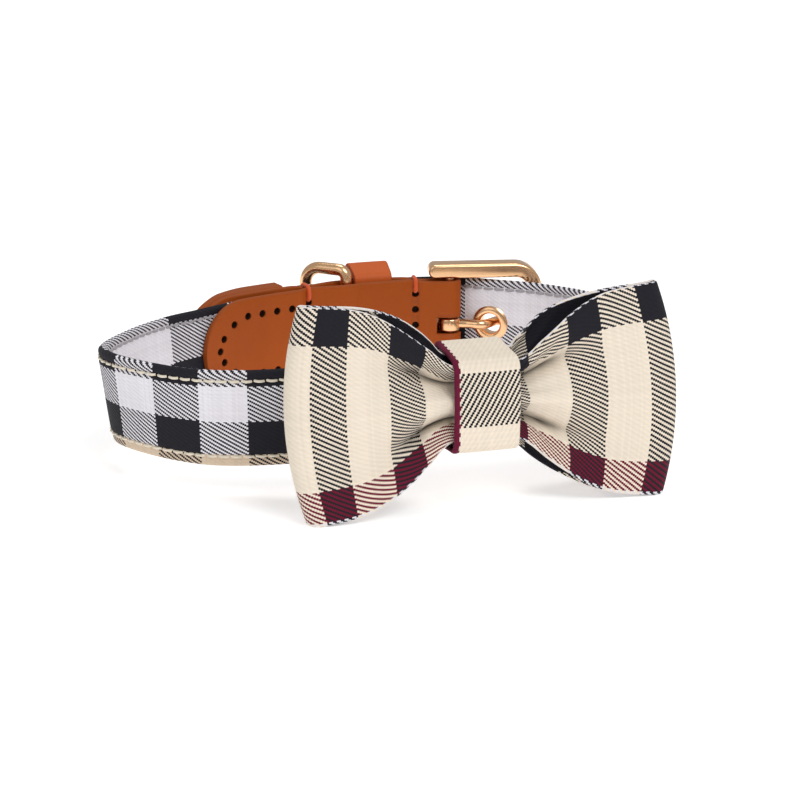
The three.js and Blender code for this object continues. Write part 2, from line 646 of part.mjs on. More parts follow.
const wingEnd = { out: 1, open: 0, front: 1, back: 1, pleat: 0, lips: 1, shut: true };
const outwards = wingRows.slice(1);
const bowRing = [
  ...wingRows.map((row) => [1, row, 'front']), [1, wingEnd, 'front'],
  ...outwards.toReversed().map((row) => [1, row, 'back']), [1, wingRows[0], 'back'],
  ...outwards.map((row) => [-1, row, 'back']), [-1, wingEnd, 'back'],
  ...outwards.toReversed().map((row) => [-1, row, 'front']),
];
const bowGrid = bowRing.map(([side, row, layer]) => (
  Array.from({ length: wingSteps + 1 }, (_, j) => bowPoint(side, row, layer,
    2 * j / wingSteps - 1))));

function bowNormal(i, j) {
  const count = bowGrid.length;
  const round = bowGrid[(i + 1) % count][j].clone().sub(bowGrid[(i + count - 1) % count][j]);
  const rise = bowGrid[i][Math.min(j + 1, wingSteps)].clone().sub(bowGrid[i][Math.max(j - 1, 0)]);
  return round.cross(rise).normalize();
}

const bowRings = bowGrid.map((column, i) => {
  const shifted = (sign) => column.map((p, j) => (
    p.clone().addScaledVector(bowNormal(i, j), sign * bowWall / 2)));
  return [...shifted(1), ...shifted(-1).toReversed()];
});
addPiece('bow', skin(bowRings, true), bowCloth);

// Knot: a strip of the bow's cloth round the pinch and the band
const knotInFront = frontY - frontPleat - bowWall / 2 - gap;
const knotInBack = bandThick / 2 + 2.5 * gap;
const knotCrown = 0.7;
const knotFaceRadius = 24;  // the crown's bend at mid-height
const knotFrontRadius = 2;
const knotBackRadius = 0.8;
const halfWall = knotWall / 2;
const knotFaceHalf = knotFront / 2 + halfWall;
const knotLine = roundLoop([
  { a: knotInFront - halfWall, b: knotMid - knotFaceHalf, r: knotFrontRadius + halfWall },
  { a: knotInFront - halfWall - knotCrown, b: knotMid, r: knotFaceRadius },
  { a: knotInFront - halfWall, b: knotMid + knotFaceHalf, r: knotFrontRadius + halfWall },
  { a: knotInBack + halfWall, b: knotMid + knotBack + halfWall, r: knotBackRadius + halfWall },
  { a: knotInBack + halfWall, b: knotMid - knotBack - halfWall, r: knotBackRadius + halfWall },
], 4);
const knotRings = knotLine.map((here, i) => {
  const before = knotLine[(i + knotLine.length - 1) % knotLine.length];
  const after = knotLine[(i + 1) % knotLine.length];
  const heading = after.clone().sub(before).normalize();
  return stripRing({
    point: new THREE.Vector3(0, here.x, here.y),
    normal: new THREE.Vector3(0, heading.y, -heading.x),
    up: new THREE.Vector3(1, 0, 0),
    thick: knotWall, height: knotWidth,
  });
});
addPiece('knot', skin(knotRings, true), bowCloth);

// The origin is under the middle of the collar, on the surface it stands on
const box = new THREE.Box3().setFromObject(collar);
const middle = box.getCenter(new THREE.Vector3());
collar.position.set(-middle.x, -middle.y, -box.min.z);

export default collar;
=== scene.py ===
import math

import bmesh
import bpy
import numpy as np
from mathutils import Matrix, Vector


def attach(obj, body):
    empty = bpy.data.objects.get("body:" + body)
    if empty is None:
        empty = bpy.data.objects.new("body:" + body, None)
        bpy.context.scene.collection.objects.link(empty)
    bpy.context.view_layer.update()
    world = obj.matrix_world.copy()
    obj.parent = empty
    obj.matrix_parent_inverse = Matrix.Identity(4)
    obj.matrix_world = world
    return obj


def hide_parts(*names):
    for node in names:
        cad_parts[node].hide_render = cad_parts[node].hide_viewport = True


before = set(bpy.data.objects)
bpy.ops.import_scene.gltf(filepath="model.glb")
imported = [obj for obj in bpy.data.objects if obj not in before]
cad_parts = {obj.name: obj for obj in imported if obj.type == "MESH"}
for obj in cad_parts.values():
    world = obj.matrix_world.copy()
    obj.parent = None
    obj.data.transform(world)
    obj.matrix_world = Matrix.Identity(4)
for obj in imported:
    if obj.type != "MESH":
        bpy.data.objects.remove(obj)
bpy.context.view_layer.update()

# Pet bow tie collar. Lengths below are millimetres unless a note says otherwise.
mm = 0.001

camera = {
    "place": (-196.62, -666.71, 209.45),
    "lookAt": (9.877, 1.493, 20.248),
    "lens": 124.2,                 # on a 36 mm sensor
    "shift": (-0.0158, -0.0443),
}


def addObject(name, data):
    made = bpy.data.objects.new(name, data)
    bpy.context.scene.collection.objects.link(made)
    return made


def aimAt(thing, place, target):
    thing.location = place
    thing.rotation_euler = (Vector(target) - Vector(place)).to_track_quat("-Z", "Y").to_euler()


def addCamera():
    data = bpy.data.cameras.new("productCamera")
    data.lens, data.sensor_width = camera["lens"], 36
    data.shift_x, data.shift_y = camera["shift"]
    data.clip_start, data.clip_end = 0.05, 20
    shot = addObject("productCamera", data)
    aimAt(shot, Vector(camera["place"]) * mm, Vector(camera["lookAt"]) * mm)
    bpy.context.scene.camera = shot


addCamera()
print("camera placed")


# Node trees

def tint(code, strength=1.0):  # "#rrggbb" as a linear colour
    channels = [int(code[i:i + 2], 16) / 255 for i in (1, 3, 5)]
    linear = [c / 12.92 if c <= 0.04045 else ((c + 0.055) / 1.055) ** 2.4 for c in channels]
    return (*[c * strength for c in linear], 1.0)


class Wire:  # a socket whose arithmetic adds Math nodes
    def __init__(self, graph, socket):
        self.graph, self.socket = graph, socket

    def maths(self, operation, *others):
        return self.graph.node("ShaderNodeMath", {"operation": operation}, (self, *others))

    def flipped(self, operation, other):
        return self.graph.node("ShaderNodeMath", {"operation": operation}, (other, self))

    def __add__(self, other): return self.maths("ADD", other)
    def __radd__(self, other): return self.flipped("ADD", other)
    def __sub__(self, other): return self.maths("SUBTRACT", other)
    def __rsub__(self, other): return self.flipped("SUBTRACT", other)
    def __mul__(self, other): return self.maths("MULTIPLY", other)
    def __rmul__(self, other): return self.flipped("MULTIPLY", other)
    def __truediv__(self, other): return self.maths("DIVIDE", other)
    def __rtruediv__(self, other): return self.flipped("DIVIDE", other)

    def floor(self): return self.maths("FLOOR")
    def over(self, other): return self.maths("GREATER_THAN", other)
    def under(self, other): return self.maths("LESS_THAN", other)
    def wrap(self, other): return self.maths("FLOORED_MODULO", other)
    def atLeast(self, other): return self.maths("MAXIMUM", other)
    def atMost(self, other): return self.maths("MINIMUM", other)


class Graph:  # adds and joins the nodes of a tree
    def __init__(self, tree):
        self.tree = tree

    def node(self, kind, settings=None, inputs=(), out=0):
        made = self.tree.nodes.new(kind)
        for key, value in (settings or {}).items():
            if key == "stops":
                for k, (place, colour) in enumerate(value):
                    colours = made.color_ramp.elements
                    element = colours[k] if k < 2 else colours.new(place)
                    element.position, element.color = place, colour
            elif key == "steps":
                made.color_ramp.interpolation = value
            else:
                setattr(made, key, value)
        pairs = inputs.items() if isinstance(inputs, dict) else enumerate(inputs)
        for key, value in pairs:
            self.join(made.inputs[key], value)
        return Wire(self, made.outputs[out])

    def join(self, socket, value):
        if isinstance(value, Wire):
            self.tree.links.new(value.socket, socket)
        else:
            socket.default_value = value


class Finish(Graph):  # a node material with a Principled shader
    def __init__(self, name, **constants):
        self.material = bpy.data.materials.new(name)
        self.material.use_nodes = True
        super().__init__(self.material.node_tree)
        self.shader = self.tree.nodes["Principled BSDF"]
        for label, value in constants.items():
            self.feed(label.replace("_", " "), value)

    def feed(self, label, value):
        self.join(self.shader.inputs[label], value)

    def place(self):
        return self.node("ShaderNodeTexCoord", out=3)

    def stretched(self, place, scale):
        return self.node("ShaderNodeMapping", {}, {"Vector": place, "Scale": scale})

    def pointValue(self, name):
        return self.node("ShaderNodeAttribute", {"attribute_name": name}, out=2)

    def mix(self, share, first, second):
        return self.node("ShaderNodeMix", {"data_type": "RGBA"},
                         {0: share, 6: first, 7: second}, out=2)

    def ramp(self, value, stops):  # hard steps from one colour to the next
        return self.node("ShaderNodeValToRGB", {"stops": stops, "steps": "CONSTANT"},
                         {0: value})

    def noise(self, place, scale, detail=2.0):
        return self.node("ShaderNodeTexNoise", {}, {"Vector": place, "Scale": scale,
                                                    "Detail": detail, "Roughness": 0.5})

    def bump(self, height, distance, strength, onTop=None):
        inputs = {"Height": height, "Distance": distance, "Strength": strength}
        if onTop is not None:
            inputs["Normal"] = onTop
        return self.node("ShaderNodeBump", {}, inputs)


# Small helpers for shapes

def unit(v):
    return v / np.linalg.norm(v, axis=-1, keepdims=True)


def ease(x, a, b):
    t = np.clip((np.asarray(x, float) - a) / (b - a), 0, 1)
    return t * t * (3 - 2 * t)


def easedTable(rows, at):  # rows of (place, value), eased between
    for (a, va), (b, vb) in zip(rows, rows[1:]):
        if at <= b:
            return va + (vb - va) * float(ease(at, a, b)) if at > a else va
    return rows[-1][1]


def between(points, w):  # centripetal curve from the second of four points to the third
    p0, p1, p2, p3 = points
    gap = [np.maximum(np.sum((b - a) ** 2, -1, keepdims=True), 1e-9) ** 0.25
           for a, b in ((p0, p1), (p1, p2), (p2, p3))]
    leave = ((p1 - p0) / gap[0] - (p2 - p0) / (gap[0] + gap[1]) + (p2 - p1) / gap[1]) * gap[1]
    reach = ((p2 - p1) / gap[1] - (p3 - p1) / (gap[1] + gap[2]) + (p3 - p2) / gap[2]) * gap[1]
    return (p1 + leave * w + (-3 * p1 + 3 * p2 - 2 * leave - reach) * w ** 2
            + (2 * p1 - 2 * p2 + leave + reach) * w ** 3)


def splinePoints(knots, shares):  # curve through the knots, shares from 0 to 1
    knots = np.asarray(knots, float)
    ends = np.vstack([2 * knots[0] - knots[1], knots, 2 * knots[-1] - knots[-2]])
    place = np.asarray(shares) * (len(knots) - 1)
    k = np.clip(np.floor(place).astype(int), 0, len(knots) - 2)
    return between([ends[k + i] for i in range(4)], (place - k)[:, None])


def closedSpline(points, steps):  # smooth loop through rows of points
    count = len(points)
    k = np.repeat(np.arange(count), steps)
    w = np.tile(np.arange(steps) / steps, count).reshape(-1, 1, 1)
    return between([points[(k + i - 1) % count] for i in range(4)], w)


def loopHeading(line):  # unit directions along a closed line
    return unit(np.roll(line, -1, 0) - np.roll(line, 1, 0))


def arc(centre, radius, start, end, count):  # angles in degrees
    return [(centre[0] + radius * math.cos(t), centre[1] + radius * math.sin(t))
            for t in np.radians(np.linspace(start, end, count))]


# a number per point: 1 on the cut edges of leather, the hole mark inside its stitch holes
# (painted shade), and on the bow how deep a fold is (painted shade in the valleys)
def meshPiece(name, points, faces, material, uv=None, rim=None):
    mesh = bpy.data.meshes.new(name)
    mesh.from_pydata((np.asarray(points).reshape(-1, 3) * mm).tolist(), [], faces)
    if uv is not None:
        layer = mesh.uv_layers.new(name="weave")
        layer.data.foreach_set("uv", np.asarray(uv, np.float32).ravel())
    if rim is not None:
        mesh.attributes.new("rim", "FLOAT", "POINT").data.foreach_set(
            "value", np.asarray(rim, np.float32).ravel())
    shape = bmesh.new()
    shape.from_mesh(mesh)
    bmesh.ops.recalc_face_normals(shape, faces=shape.faces)
    shape.to_mesh(mesh)
    shape.free()
    mesh.polygons.foreach_set("use_smooth", [True] * len(mesh.polygons))
    mesh.set_sharp_from_angle(angle=math.radians(50))
    mesh.materials.append(material)
    return addObject(name, mesh)


def loft(name, rings, material, closed=False, uv=None, rim=None):
    rings = np.asarray(rings, float)  # stations, sides, xyz
    count, sides = rings.shape[:2]
    spans = count if closed else count - 1
    i, j = np.meshgrid(np.arange(spans), np.arange(sides), indexing="ij")
    nextI, nextJ = (i + 1) % count, (j + 1) % sides
    quads = np.stack([i * sides + j, nextI * sides + j, nextI * sides + nextJ,
                      i * sides + nextJ], -1).reshape(-1, 4)
    faces = quads.tolist()
    corners = None
    if uv is not None:
        corners = np.stack([uv[i, j], uv[i + 1, j], uv[i + 1, j + 1], uv[i, j + 1]], 2)
        corners = corners.reshape(-1, 2)
    if not closed:
        faces += [list(range(sides)), list(range((count - 1) * sides, count * sides))]
        if uv is not None:
            corners = np.vstack([corners, uv[0, :-1], uv[-1, :-1]])
    return meshPiece(name, rings, faces, material, corners, rim)


def placeRing(station, profile):
    w, v = profile[:, 0:1], profile[:, 1:2]
    return station["point"] + w * station["normal"] + v * station["up"]


def roundedProfile(thick, height, corner, cornerSteps=4, faceSteps=8):
    w, v = thick / 2, height / 2
    corner = min(corner, w * 0.98, v * 0.98)
    flat = v - corner
    shares = np.linspace(-1, 1, faceSteps + 1)[1:-1]
    face = [(w, flat * s) for s in shares]
    back = [(-w, -flat * s) for s in shares]
    bends = [arc((a * (w - corner), b * flat), corner, turn, turn + 90, cornerSteps + 1)
             for a, b, turn in ((1, 1, 0), (-1, 1, 90), (-1, -1, 180), (1, -1, 270))]
    return np.array(face + bends[0] + bends[1] + back + bends[2] + bends[3])


def rimOf(profile, thick):  # 1 on the cut edges of a strip, 0 on its faces
    return 1 - ease(np.abs(profile[:, 0]) / (thick / 2), 0.86, 1.0)


def tube(name, line, radii, sides, material):
    line = np.asarray(line, float)
    ahead = unit(np.gradient(line, axis=0))
    side = unit(np.cross(ahead[0], (0.31, 0.17, 0.93)))
    turns = np.linspace(0, 2 * math.pi, sides, endpoint=False)
    rings = []
    for point, heading, radius in zip(line, ahead, radii):
        side = unit(side - heading * (side @ heading))
        rise = np.cross(heading, side)
        rings.append([point + radius * (side * math.cos(t) + rise * math.sin(t)) for t in turns])
    return loft(name, rings, material)


# Geometry Nodes trees

class Tree(Graph):  # a Geometry Nodes tree with named inputs
    def __init__(self, name, inputs):
        super().__init__(bpy.data.node_groups.new(name, "GeometryNodeTree"))
        face = self.tree.interface
        face.new_socket("Geometry", in_out="INPUT", socket_type="NodeSocketGeometry")
        for label, kind, value in inputs:
            made = face.new_socket(label, in_out="INPUT", socket_type=f"NodeSocket{kind}")
            if value is not None:
                made.default_value = value
        face.new_socket("Geometry", in_out="OUTPUT", socket_type="NodeSocketGeometry")
        self.start = self.tree.nodes.new("NodeGroupInput")
        self.end = self.tree.nodes.new("NodeGroupOutput")

    def input(self, label):
        return Wire(self, self.start.outputs[label])

    def vector(self, name):
        return self.node("GeometryNodeInputNamedAttribute", {"data_type": "FLOAT_VECTOR"},
                         {"Name": name})

    def copies(self, points, shape):  # z along each point's "facing", x along its "heading"
        turn = self.node("FunctionNodeAxesToRotation",
                         {"primary_axis": "Z", "secondary_axis": "X"},
                         (self.vector("facing"), self.vector("heading")))
        return self.node("GeometryNodeInstanceOnPoints", {}, {
            "Points": points, "Instance": shape, "Rotation": turn})

    def finish(self, shape):
        real = self.node("GeometryNodeRealizeInstances", {}, {0: shape})
        done = self.node("GeometryNodeSetMaterial", {},
                         {"Geometry": real, "Material": self.input("Material")})
        self.join(self.end.inputs[0], done)
        return self.tree


def keepResult(piece):  # the mesh after the modifiers takes the place of the old one
    bpy.context.view_layer.update()
    made = bpy.data.meshes.new_from_object(
        piece.evaluated_get(bpy.context.evaluated_depsgraph_get()))
    piece.modifiers.clear()
    old, piece.data = piece.data, made
    bpy.data.meshes.remove(old)
    made.name = piece.name


def useTree(piece, tree, values):
    modifier = piece.modifiers.new(tree.name, "NODES")
    modifier.node_group = tree
    for item in tree.interface.items_tree:
        if item.item_type == "SOCKET" and item.in_out == "INPUT" and item.name in values:
            modifier[item.identifier] = values[item.name]
    keepResult(piece)


def stitchTree():
    tree = Tree("stitchRun", [
        ("Stitch length", "Float", 0.003), ("Thread radius", "Float", 0.0003),
        ("Rise", "Float", 0.0002), ("Sink", "Float", 0.0003), ("Material", "Material", None)])
    half = tree.input("Stitch length") * 0.5
    low = tree.input("Sink") * -1.0
    peak = tree.input("Rise").maths("MULTIPLY_ADD", 2.0, tree.input("Sink"))
    ends = [tree.node("ShaderNodeCombineXYZ", {}, (x, 0.0, z))
            for x, z in ((half * -1.0, low), (0.0, peak), (half, low))]
    line = tree.node("GeometryNodeCurveQuadraticBezier", {}, {
        "Resolution": 6, "Start": ends[0], "Middle": ends[1], "End": ends[2]})
    circle = tree.node("GeometryNodeCurvePrimitiveCircle", {}, {
        "Resolution": 6, "Radius": tree.input("Thread radius")})
    thread = tree.node("GeometryNodeCurveToMesh", {}, {
        "Curve": line, "Profile Curve": circle, "Fill Caps": True})
    smooth = tree.node("GeometryNodeSetShadeSmooth", {}, {"Geometry": thread})
    return tree.finish(tree.copies(tree.input("Geometry"), smooth))


def pointSet(name, places, facing, heading):
    mesh = bpy.data.meshes.new(name)
    mesh.from_pydata((np.asarray(places) * mm).tolist(), [], [])
    for label, value in (("facing", facing), ("heading", heading)):
        mesh.attributes.new(label, "FLOAT_VECTOR", "POINT").data.foreach_set(
            "vector", np.asarray(value, np.float32).ravel())
    return addObject(name, mesh)


stitchRun = stitchTree()


def sewRun(name, places, facing, heading, settings, material):
    run = pointSet(name, places, facing, heading)
    useTree(run, stitchRun, {
        "Stitch length": settings["length"] * mm, "Thread radius": settings["thread"] / 2 * mm,
        "Rise": settings["rise"] * mm, "Sink": settings["sink"] * mm, "Material": material})
    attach(run, "collar")
    return run


# Cloth

colours = {
    "charcoal": "#1f1e25", "white": "#e7e4ea", "cream": "#ecdfcd", "burgundy": "#6e112e",
    "hem": "#d9c4ac", "edging": "#6a1434",
}
bandTwill = {"threadAlong": 0.47, "threadUp": 0.27, "ribHeight": 0.00010, "threadShade": 0.07}
bowTwill = {"threadAlong": 0.56, "threadUp": 0.325, "ribHeight": 0.00009, "threadShade": 0.05}
clothShade = {"rib": 0.07, "yarn": 0.05, "broad": 0.08, "least": 0.83, "fold": 0.82}


def bandStops(rows, low, high):  # rows of (where a colour starts, its name)
    return [((at - low) / (high - low), tint(colours[name])) for at, name in rows]


def twillCloth(name, along, up, settings, edging=None, hem=None, paintFoldShade=False):
    finish = Finish(name, Roughness=0.86, Sheen_Weight=0.04, Sheen_Roughness=0.5,
                    Specular_IOR_Level=0.18)
    weave = finish.node("ShaderNodeSeparateXYZ", {}, {
        0: finish.node("ShaderNodeUVMap", {"uv_map": "weave"})})
    u, v = weave, Wire(finish, weave.socket.node.outputs[1])
    threadU = (u / settings["threadAlong"]).floor()
    threadV = (v / settings["threadUp"]).floor()
    showsWarp = (threadU + threadV).wrap(4.0).under(1.999)
    placeU = (threadU + 0.5) * settings["threadAlong"]
    placeV = (threadV + 0.5) * settings["threadUp"]
    period = along["repeat"]
    column = ((placeU - along["start"]) / period).wrap(1.0)
    warp = finish.ramp(column, bandStops(along["bands"], 0, period))
    if hem:  # the white columns turn to the hem's colour in the lowest rows
        hemmed = [(at, "hem" if colour == "white" else colour) for at, colour in along["bands"]]
        warp = finish.mix(placeV.under(hem), warp,
                          finish.ramp(column, bandStops(hemmed, 0, period)))
    low, high = up["from"], up["to"]
    weft = finish.ramp((placeV - low) / (high - low), bandStops(up["bands"], low, high))
    colour = finish.mix(showsWarp, weft, warp)
    if edging:
        inside = (placeV + showsWarp * edging["tooth"]).over(edging["from"])
        colour = finish.mix(inside, colour, tint(colours[edging["colour"]]))
    warpNoise, weftNoise = (
        finish.node("ShaderNodeTexWhiteNoise", {"noise_dimensions": "1D"}, {"W": thread})
        for thread in (threadU, threadV + 91.7))
    diagonal = (u / settings["threadAlong"] + v / settings["threadUp"]) * (math.pi / 2)
    rib = diagonal.maths("SINE") * 0.5 + 0.5
    yarn = (v / settings["threadUp"] * math.pi).maths("SINE").maths("ABSOLUTE")
    place = finish.place()
    broad = finish.noise(place, 60.0, 2.0)
    shade = (rib * clothShade["rib"] + yarn * clothShade["yarn"]
             + (warpNoise + weftNoise) * settings["threadShade"]
             + broad * clothShade["broad"] + clothShade["least"])
    # painted shade: the cloth is darker where the bow's folds are marked deep
    if paintFoldShade:
        shade = shade * (1.0 - finish.pointValue("rim") * clothShade["fold"])
    finish.feed("Base Color", finish.node("ShaderNodeHueSaturation", {}, {
        "Color": colour, "Value": shade}))
    finish.feed("Roughness", broad * 0.12 + 0.80)
    ribBump = finish.bump(rib + yarn * 0.5, settings["ribHeight"], 0.6)
    fuzz = finish.noise(place, 2600.0, 2.0)
    finish.feed("Normal", finish.bump(fuzz, 0.00005, 0.5, ribBump))
    return finish.material


bandCheck = twillCloth(
    "bandCheck",
    {"start": 5.0, "repeat": 24.8, "bands": [(0, "charcoal"), (12.4, "white")]},
    {"from": -14, "to": 42, "bands": [(-14, "hem"), (-9.3, "charcoal"), (-0.6, "white"),
                                      (8.7, "charcoal")]}, bandTwill, hem=-9.3)
bandLining = twillCloth(
    "bandLining",
    {"start": 45.0, "repeat": 63.0, "bands": [(0, "white"), (40, "charcoal")]},
    {"from": 12, "to": 42, "bands": [(12, "charcoal"), (14.4, "white"), (25, "charcoal"),
                                     (34, "hem")]}, bandTwill)
bowCheck = twillCloth(
    "bowCheck",
    {"start": 2.0, "repeat": 20.0, "bands": [(0, "charcoal"), (9, "cream")]},
    {"from": -28, "to": 84, "bands": [(-28, "white"), (-26.0, "burgundy"), (-18, "cream"),
                                      (17.5, "charcoal"), (26.0, "white"), (27.2, "charcoal"),
                                      (42, "cream"), (66, "charcoal"), (81.2, "white")]},
    bowTwill, paintFoldShade=True)
bowLining = twillCloth(
    "bowLining",
    {"start": 14.0, "repeat": 40.0, "bands": [(0, "charcoal"), (36, "cream")]},
    {"from": -28, "to": 84, "bands": [(-28, "white"), (27.2, "charcoal"), (44, "cream"),
                                      (64, "charcoal"), (81.2, "white")]}, bowTwill)
knotCheck = twillCloth(
    "knotCheck",
    {"start": -4.9, "repeat": 120.0, "bands": [(0, "charcoal"), (12.9, "cream")]},
    {"from": -12, "to": 40, "bands": [(-12, "cream"), (14, "charcoal")]}, bowTwill,
    edging={"from": 7.3, "colour": "edging", "tooth": 0.5})


def threadFinish(name, colour):
    finish = Finish(name, Roughness=0.7, Sheen_Weight=0.2)
    place = finish.place()
    strands = finish.noise(place, 1800.0, 3.0)
    finish.feed("Base Color", finish.mix(strands, tint(colour, 0.72), tint(colour, 1.1)))
    finish.feed("Normal", finish.bump(strands, 0.00008, 0.8))
    return finish.material


creamThread = threadFinish("creamThread", "#efe3cf")
greyThread = threadFinish("greyThread", "#a9a4a8")
orangeThread = threadFinish("orangeThread", "#dc540e")


# Band

band = {
    "height": 25.0, "thick": 3.0, "squeeze": 0.91,
    "stitchTop": 2.6, "stitchFoot": 2.9,   # rows, from the band's edges
    "seamDip": 0.45, "edgeThick": 2.5, "crease": 0.16,
    "stitch": {"pitch": 3.1, "length": 2.4, "thread": 0.72, "rise": 0.24, "sink": 0.28},
    # mid-line: x, y, z, lean in degrees, 1 where the knot squeezes it
    "route": [
        (-9.23, 50.29, 17.5, 0, 0), (-17.55, 48.04, 17.5, 0, 0), (-25.66, 45.1, 17.5, 0, 0),
        (-33.5, 41.51, 17.5, 0, 0), (-41.02, 37.29, 17.5, 0, 0), (-48.64, 30.88, 17.9, 5, 0),
        (-60.96, 18.05, 18.46, 7, 0), (-70.48, 2.16, 18.95, 8, 0), (-66.56, -13.54, 19.59, 6, 0),
        (-51.72, -28.44, 19.35, 3.5, 0), (-29.6, -38.7, 21.04, 4, 0),
        (-10.84, -44.03, 23.78, 3, 0), (0.64, -46.01, 25.55, 0, 1), (9.88, -46.01, 25.55, 0, 1),
        (19.12, -46.01, 25.55, 0, 1), (30.6, -44.82, 23.78, 3, 0), (49.92, -39.49, 21.12, 6, 0),
        (65.18, -26.46, 19.91, 7, 0), (70.36, -10.48, 19.27, 7, 0), (70.22, 4.53, 18.79, 6, 0),
        (69.24, 16.96, 18.3, 4, 0), (65.88, 28.02, 17.9, 2, 0), (60.34, 38.07, 17.5, 0, 0),
        (56.39, 42.08, 17.5, 0, 0), (46.82, 49.02, 17.5, 0, 0), (39.83, 54.59, 17.5, 0, 0),
        (34.92, 56.02, 17.5, 0, 0), (26.67, 57.6, 17.5, 0, 0), (14.08, 58.31, 17.5, 0, 0),
        (3.58, 57.81, 17.5, 0, 0), (-8.03, 56.99, 17.5, 0, 0), (-13.3, 56.21, 17.5, 0, 0),
        (-21.16, 53.91, 17.5, 0, 0)],
    "barKnot": 26,                 # the route's knot over the heel bar
}
eyelets = {"count": 5, "inUse": 15.2, "pitch": 20.0, "radius": 5.2, "bore": 2.9, "wall": 0.5,
           "flange": 0.6, "press": 0.25, "gap": 0.3}

route = np.array(band["route"])
fine = np.linspace(0, 1, 6401)
finePoints = splinePoints(route[:, :3], fine)
fineRun = np.concatenate([[0], np.cumsum(np.linalg.norm(np.diff(finePoints, axis=0), axis=1))])
bandLength = fineRun[-1]
barRun = np.interp(band["barKnot"] / (len(route) - 1), fine, fineRun)


def bandStation(run):  # place on the mid-line at a run from the sewn end
    share = float(np.interp(run, fineRun, fine))
    step = 2e-4
    pair = splinePoints(route[:, :3], [max(share - step, 0), share, min(share + step, 1)])
    heading = (pair[2] - pair[0]) * (1, 1, 0)
    heading = unit(heading)
    flat = np.array([heading[1], -heading[0], 0])
    at = share * (len(route) - 1)
    k = min(int(at), len(route) - 2)
    lean = math.radians(route[k, 3] + (route[k + 1, 3] - route[k, 3]) * (at - k))
    squeeze = float(ease(route[k, 4] + (route[k + 1, 4] - route[k, 4]) * (at - k), 0, 1))
    height = band["height"] * (1 + (band["squeeze"] - 1) * squeeze)
    rise = np.array([0, 0, 1.0])
    return {"point": pair[1], "heading": heading,
            "normal": flat * math.cos(lean) - rise * math.sin(lean),
            "up": flat * math.sin(lean) + rise * math.cos(lean),
            "height": height, "squeeze": squeeze, "run": run}


def bandHalf(v, height, pull):  # half thickness at a height from the mid-line
    top, foot = height / 2 - band["stitchTop"], -height / 2 + band["stitchFoot"]
    full = band["thick"] / 2
    dip = sum(np.exp(-((v - row) / 0.62) ** 2) for row in (top, foot)) * band["seamDip"] * pull
    outside = ease(np.abs(v) / (height / 2), 0.74, 0.84)
    pad = full + (band["edgeThick"] / 2 - full) * outside
    round_ = np.sqrt(np.clip(1 - ease(np.abs(v), height / 2 - 1.15, height / 2 + 0.02) ** 2.4,
                             0, 1))
    return np.maximum(pad * round_ - dip, 0.0)


def bandProfile(station):
    height = station["height"]
    half = height / 2
    shares = np.concatenate([
        np.linspace(-1, -0.96, 5)[:-1], np.linspace(-0.96, -0.62, 11)[:-1],
        np.linspace(-0.62, 0.62, 13)[:-1], np.linspace(0.62, 0.96, 11)[:-1],
        np.linspace(0.96, 1, 5)])
    v = shares * half
    phase = (station["run"] / band["stitch"]["pitch"]) * 2 * math.pi
    pull = 0.8 + 0.35 * math.cos(phase)
    soft = band["crease"] * (
        np.sin(station["run"] * 0.19 + v * 0.31) * 0.5 + np.sin(station["run"] * 0.43 - v * 0.22)
        * 0.3 + np.sin(station["run"] * 0.083 + 1.7) * 0.4) * (1 - (v / half) ** 2)
    w = bandHalf(v, height, pull)
    outer = np.stack([w + soft * 0.5 - 0.08, v], 1)
    inner = np.stack([-w, v], 1)[::-1]
    return np.vstack([outer, inner[1:-1]]), np.concatenate([v, (2 * half - v[::-1])[1:]])


def makeBand():
    step = band["stitch"]["pitch"] / 6
    runs = np.linspace(0, bandLength, int(bandLength / step) + 1)
    stations = [bandStation(r) for r in runs]
    rings, uv = [], []
    for station in stations:
        profile, around = bandProfile(station)
        scale = station["height"] / band["height"]
        rings.append(placeRing(station, profile))
        uv.append(np.stack([np.full(len(around), station["run"]), around / scale], 1))
    cloth = loft("bandCloth", rings, bandCheck, uv=np.array(uv))
    cloth.data.materials.append(bandLining)
    sides = len(rings[0])
    for face in cloth.data.polygons[:(len(rings) - 1) * sides]:
        face.material_index = int(face.index % sides >= sides // 2)
    return cloth


def punch(piece, cutters):  # cuts a joined mesh of punches out of a piece
    modifier = piece.modifiers.new("punch", "BOOLEAN")
    modifier.operation, modifier.solver, modifier.object = "DIFFERENCE", "EXACT", cutters
    keepResult(piece)
    bpy.data.objects.remove(cutters)


def lathe(name, profile, sides, stations, material):  # profile of (radius, out) turned at each
    profile = np.asarray(profile)
    turns = np.linspace(0, 2 * math.pi, sides, endpoint=False)
    points, faces = [], []
    for station in stations:
        across = np.cross(station["up"], station["normal"])
        start = len(points)
        for t in turns:
            spoke = across * math.cos(t) + station["up"] * math.sin(t)
            points += [station["point"] + spoke * r + station["normal"] * o for r, o in profile]
        count = len(profile)
        for i in range(sides):
            a, b = start + i * count, start + ((i + 1) % sides) * count
            faces += [[a + j, b + j, b + (j + 1) % count, a + (j + 1) % count]
                      for j in range(count)]
    return meshPiece(name, points, faces, material)


eyeletStations = [bandStation(barRun - eyelets["inUse"] - (k - 1) * eyelets["pitch"])
                  for k in range(eyelets["count"])]
bandCloth = makeBand()
barrel = eyelets["bore"] + eyelets["wall"] + 0.1
cutter = lathe("eyeletPunch", [(0.01, -4), (barrel, -4), (barrel, 4), (0.01, 4)], 24,
               eyeletStations, bandCheck)
punch(bandCloth, cutter)
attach(bandCloth, "collar")
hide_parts("band")


